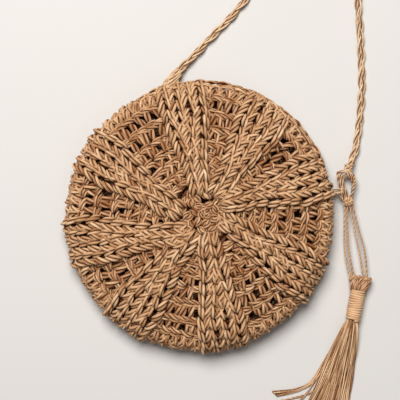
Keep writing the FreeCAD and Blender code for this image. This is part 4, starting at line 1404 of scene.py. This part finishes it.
# The lattice, posts, rib beds, hub and backing below the ribs are painted darker as shade
lattice_yarn = Yarn(BAR_PLY_RADIUS, tone=BAR_PAINTED_SHADE_TONE, swell=STITCH_SWELL, depth=BAR_PAINTED_SHADE)
add_bars(lattice_yarn, front, BAR_RADII, BAR_LEVEL)
front_piece(lattice_yarn, "front_lattice", "front_panel")

post_yarn = Yarn(POST_PLY_RADIUS, tone=POST_PAINTED_SHADE_TONE, swell=STITCH_SWELL, depth=POST_PAINTED_SHADE)
add_posts(post_yarn, front)
add_rib_beds(post_yarn, front)
front_piece(post_yarn, "front_posts", "front_panel")

hub_yarn = Yarn(HUB_PLY_RADIUS, tone=BAR_PAINTED_SHADE_TONE, swell=STITCH_SWELL, depth=HUB_PAINTED_SHADE)
add_hub(hub_yarn, front)
front_piece(hub_yarn, "front_hub_loops", "front_panel")

# The backing is painted almost wholly in shade
backing_yarn = Yarn(BACKING_PLY_RADIUS, ply_count=1, flats=LIGHT_FLATS, depth=BACKING_PAINTED_SHADE)
add_backing(backing_yarn, front)
front_piece(backing_yarn, "front_backing", "front_panel")

rim_yarn = Yarn(swell=STITCH_SWELL)
add_rim(rim_yarn, front, False)
front_piece(rim_yarn, "front_rim_stitches", "front_mouth_panel")

edge_yarn = Yarn(EDGE_PLY_RADIUS, PAIR)
ring_chain(edge_yarn, *FRONT_EDGE_PLACE, FRONT_EDGE_NORMAL, *MOUTH_BEARINGS, bulge=FRONT_EDGE_BULGE)
front_piece(edge_yarn, "front_mouth_chain", "front_mouth_edging")

back_yarn = Yarn(PAIR_PLY_RADIUS, PAIR, flats=LIGHT_FLATS)
add_ribs(back_yarn, back, True)
add_rim(back_yarn, back, True)
add_piece(back_yarn, "back_stitches", "bag", "straw_panel", "back_panel")

between_radii = [(first + last) / 2 for first, last in zip(BAR_RADII, BAR_RADII[1:])]
back_lattice_yarn = Yarn(PAIR_PLY_RADIUS, PAIR, flats=LIGHT_FLATS)
add_bars(back_lattice_yarn, back, BAR_RADII, BAR_LEVEL)
add_bars(back_lattice_yarn, back, between_radii, BAR_LEVEL)
add_posts(back_lattice_yarn, back)
add_hub(back_lattice_yarn, back)
add_piece(back_lattice_yarn, "back_lattice", "bag", "straw_panel", "back_panel")

back_edge_yarn = Yarn(EDGE_PLY_RADIUS, PAIR)
ring_chain(back_edge_yarn, *BACK_EDGE_PLACE, BACK_EDGE_NORMAL, *MOUTH_BEARINGS, bulge=BACK_EDGE_BULGE)
add_piece(back_edge_yarn, "back_mouth_chain", "bag", "straw_panel", "back_mouth_edging")

seam_yarn = Yarn()
for seam_place in SEAM_PLACES:
    ring_chain(seam_yarn, *seam_place, SEAM_NORMAL, MOUTH_BEARINGS[1], MOUTH_BEARINGS[0] + 360)
add_piece(seam_yarn, "rim_seam_chain", "bag", "straw_panel", "rim_seam")
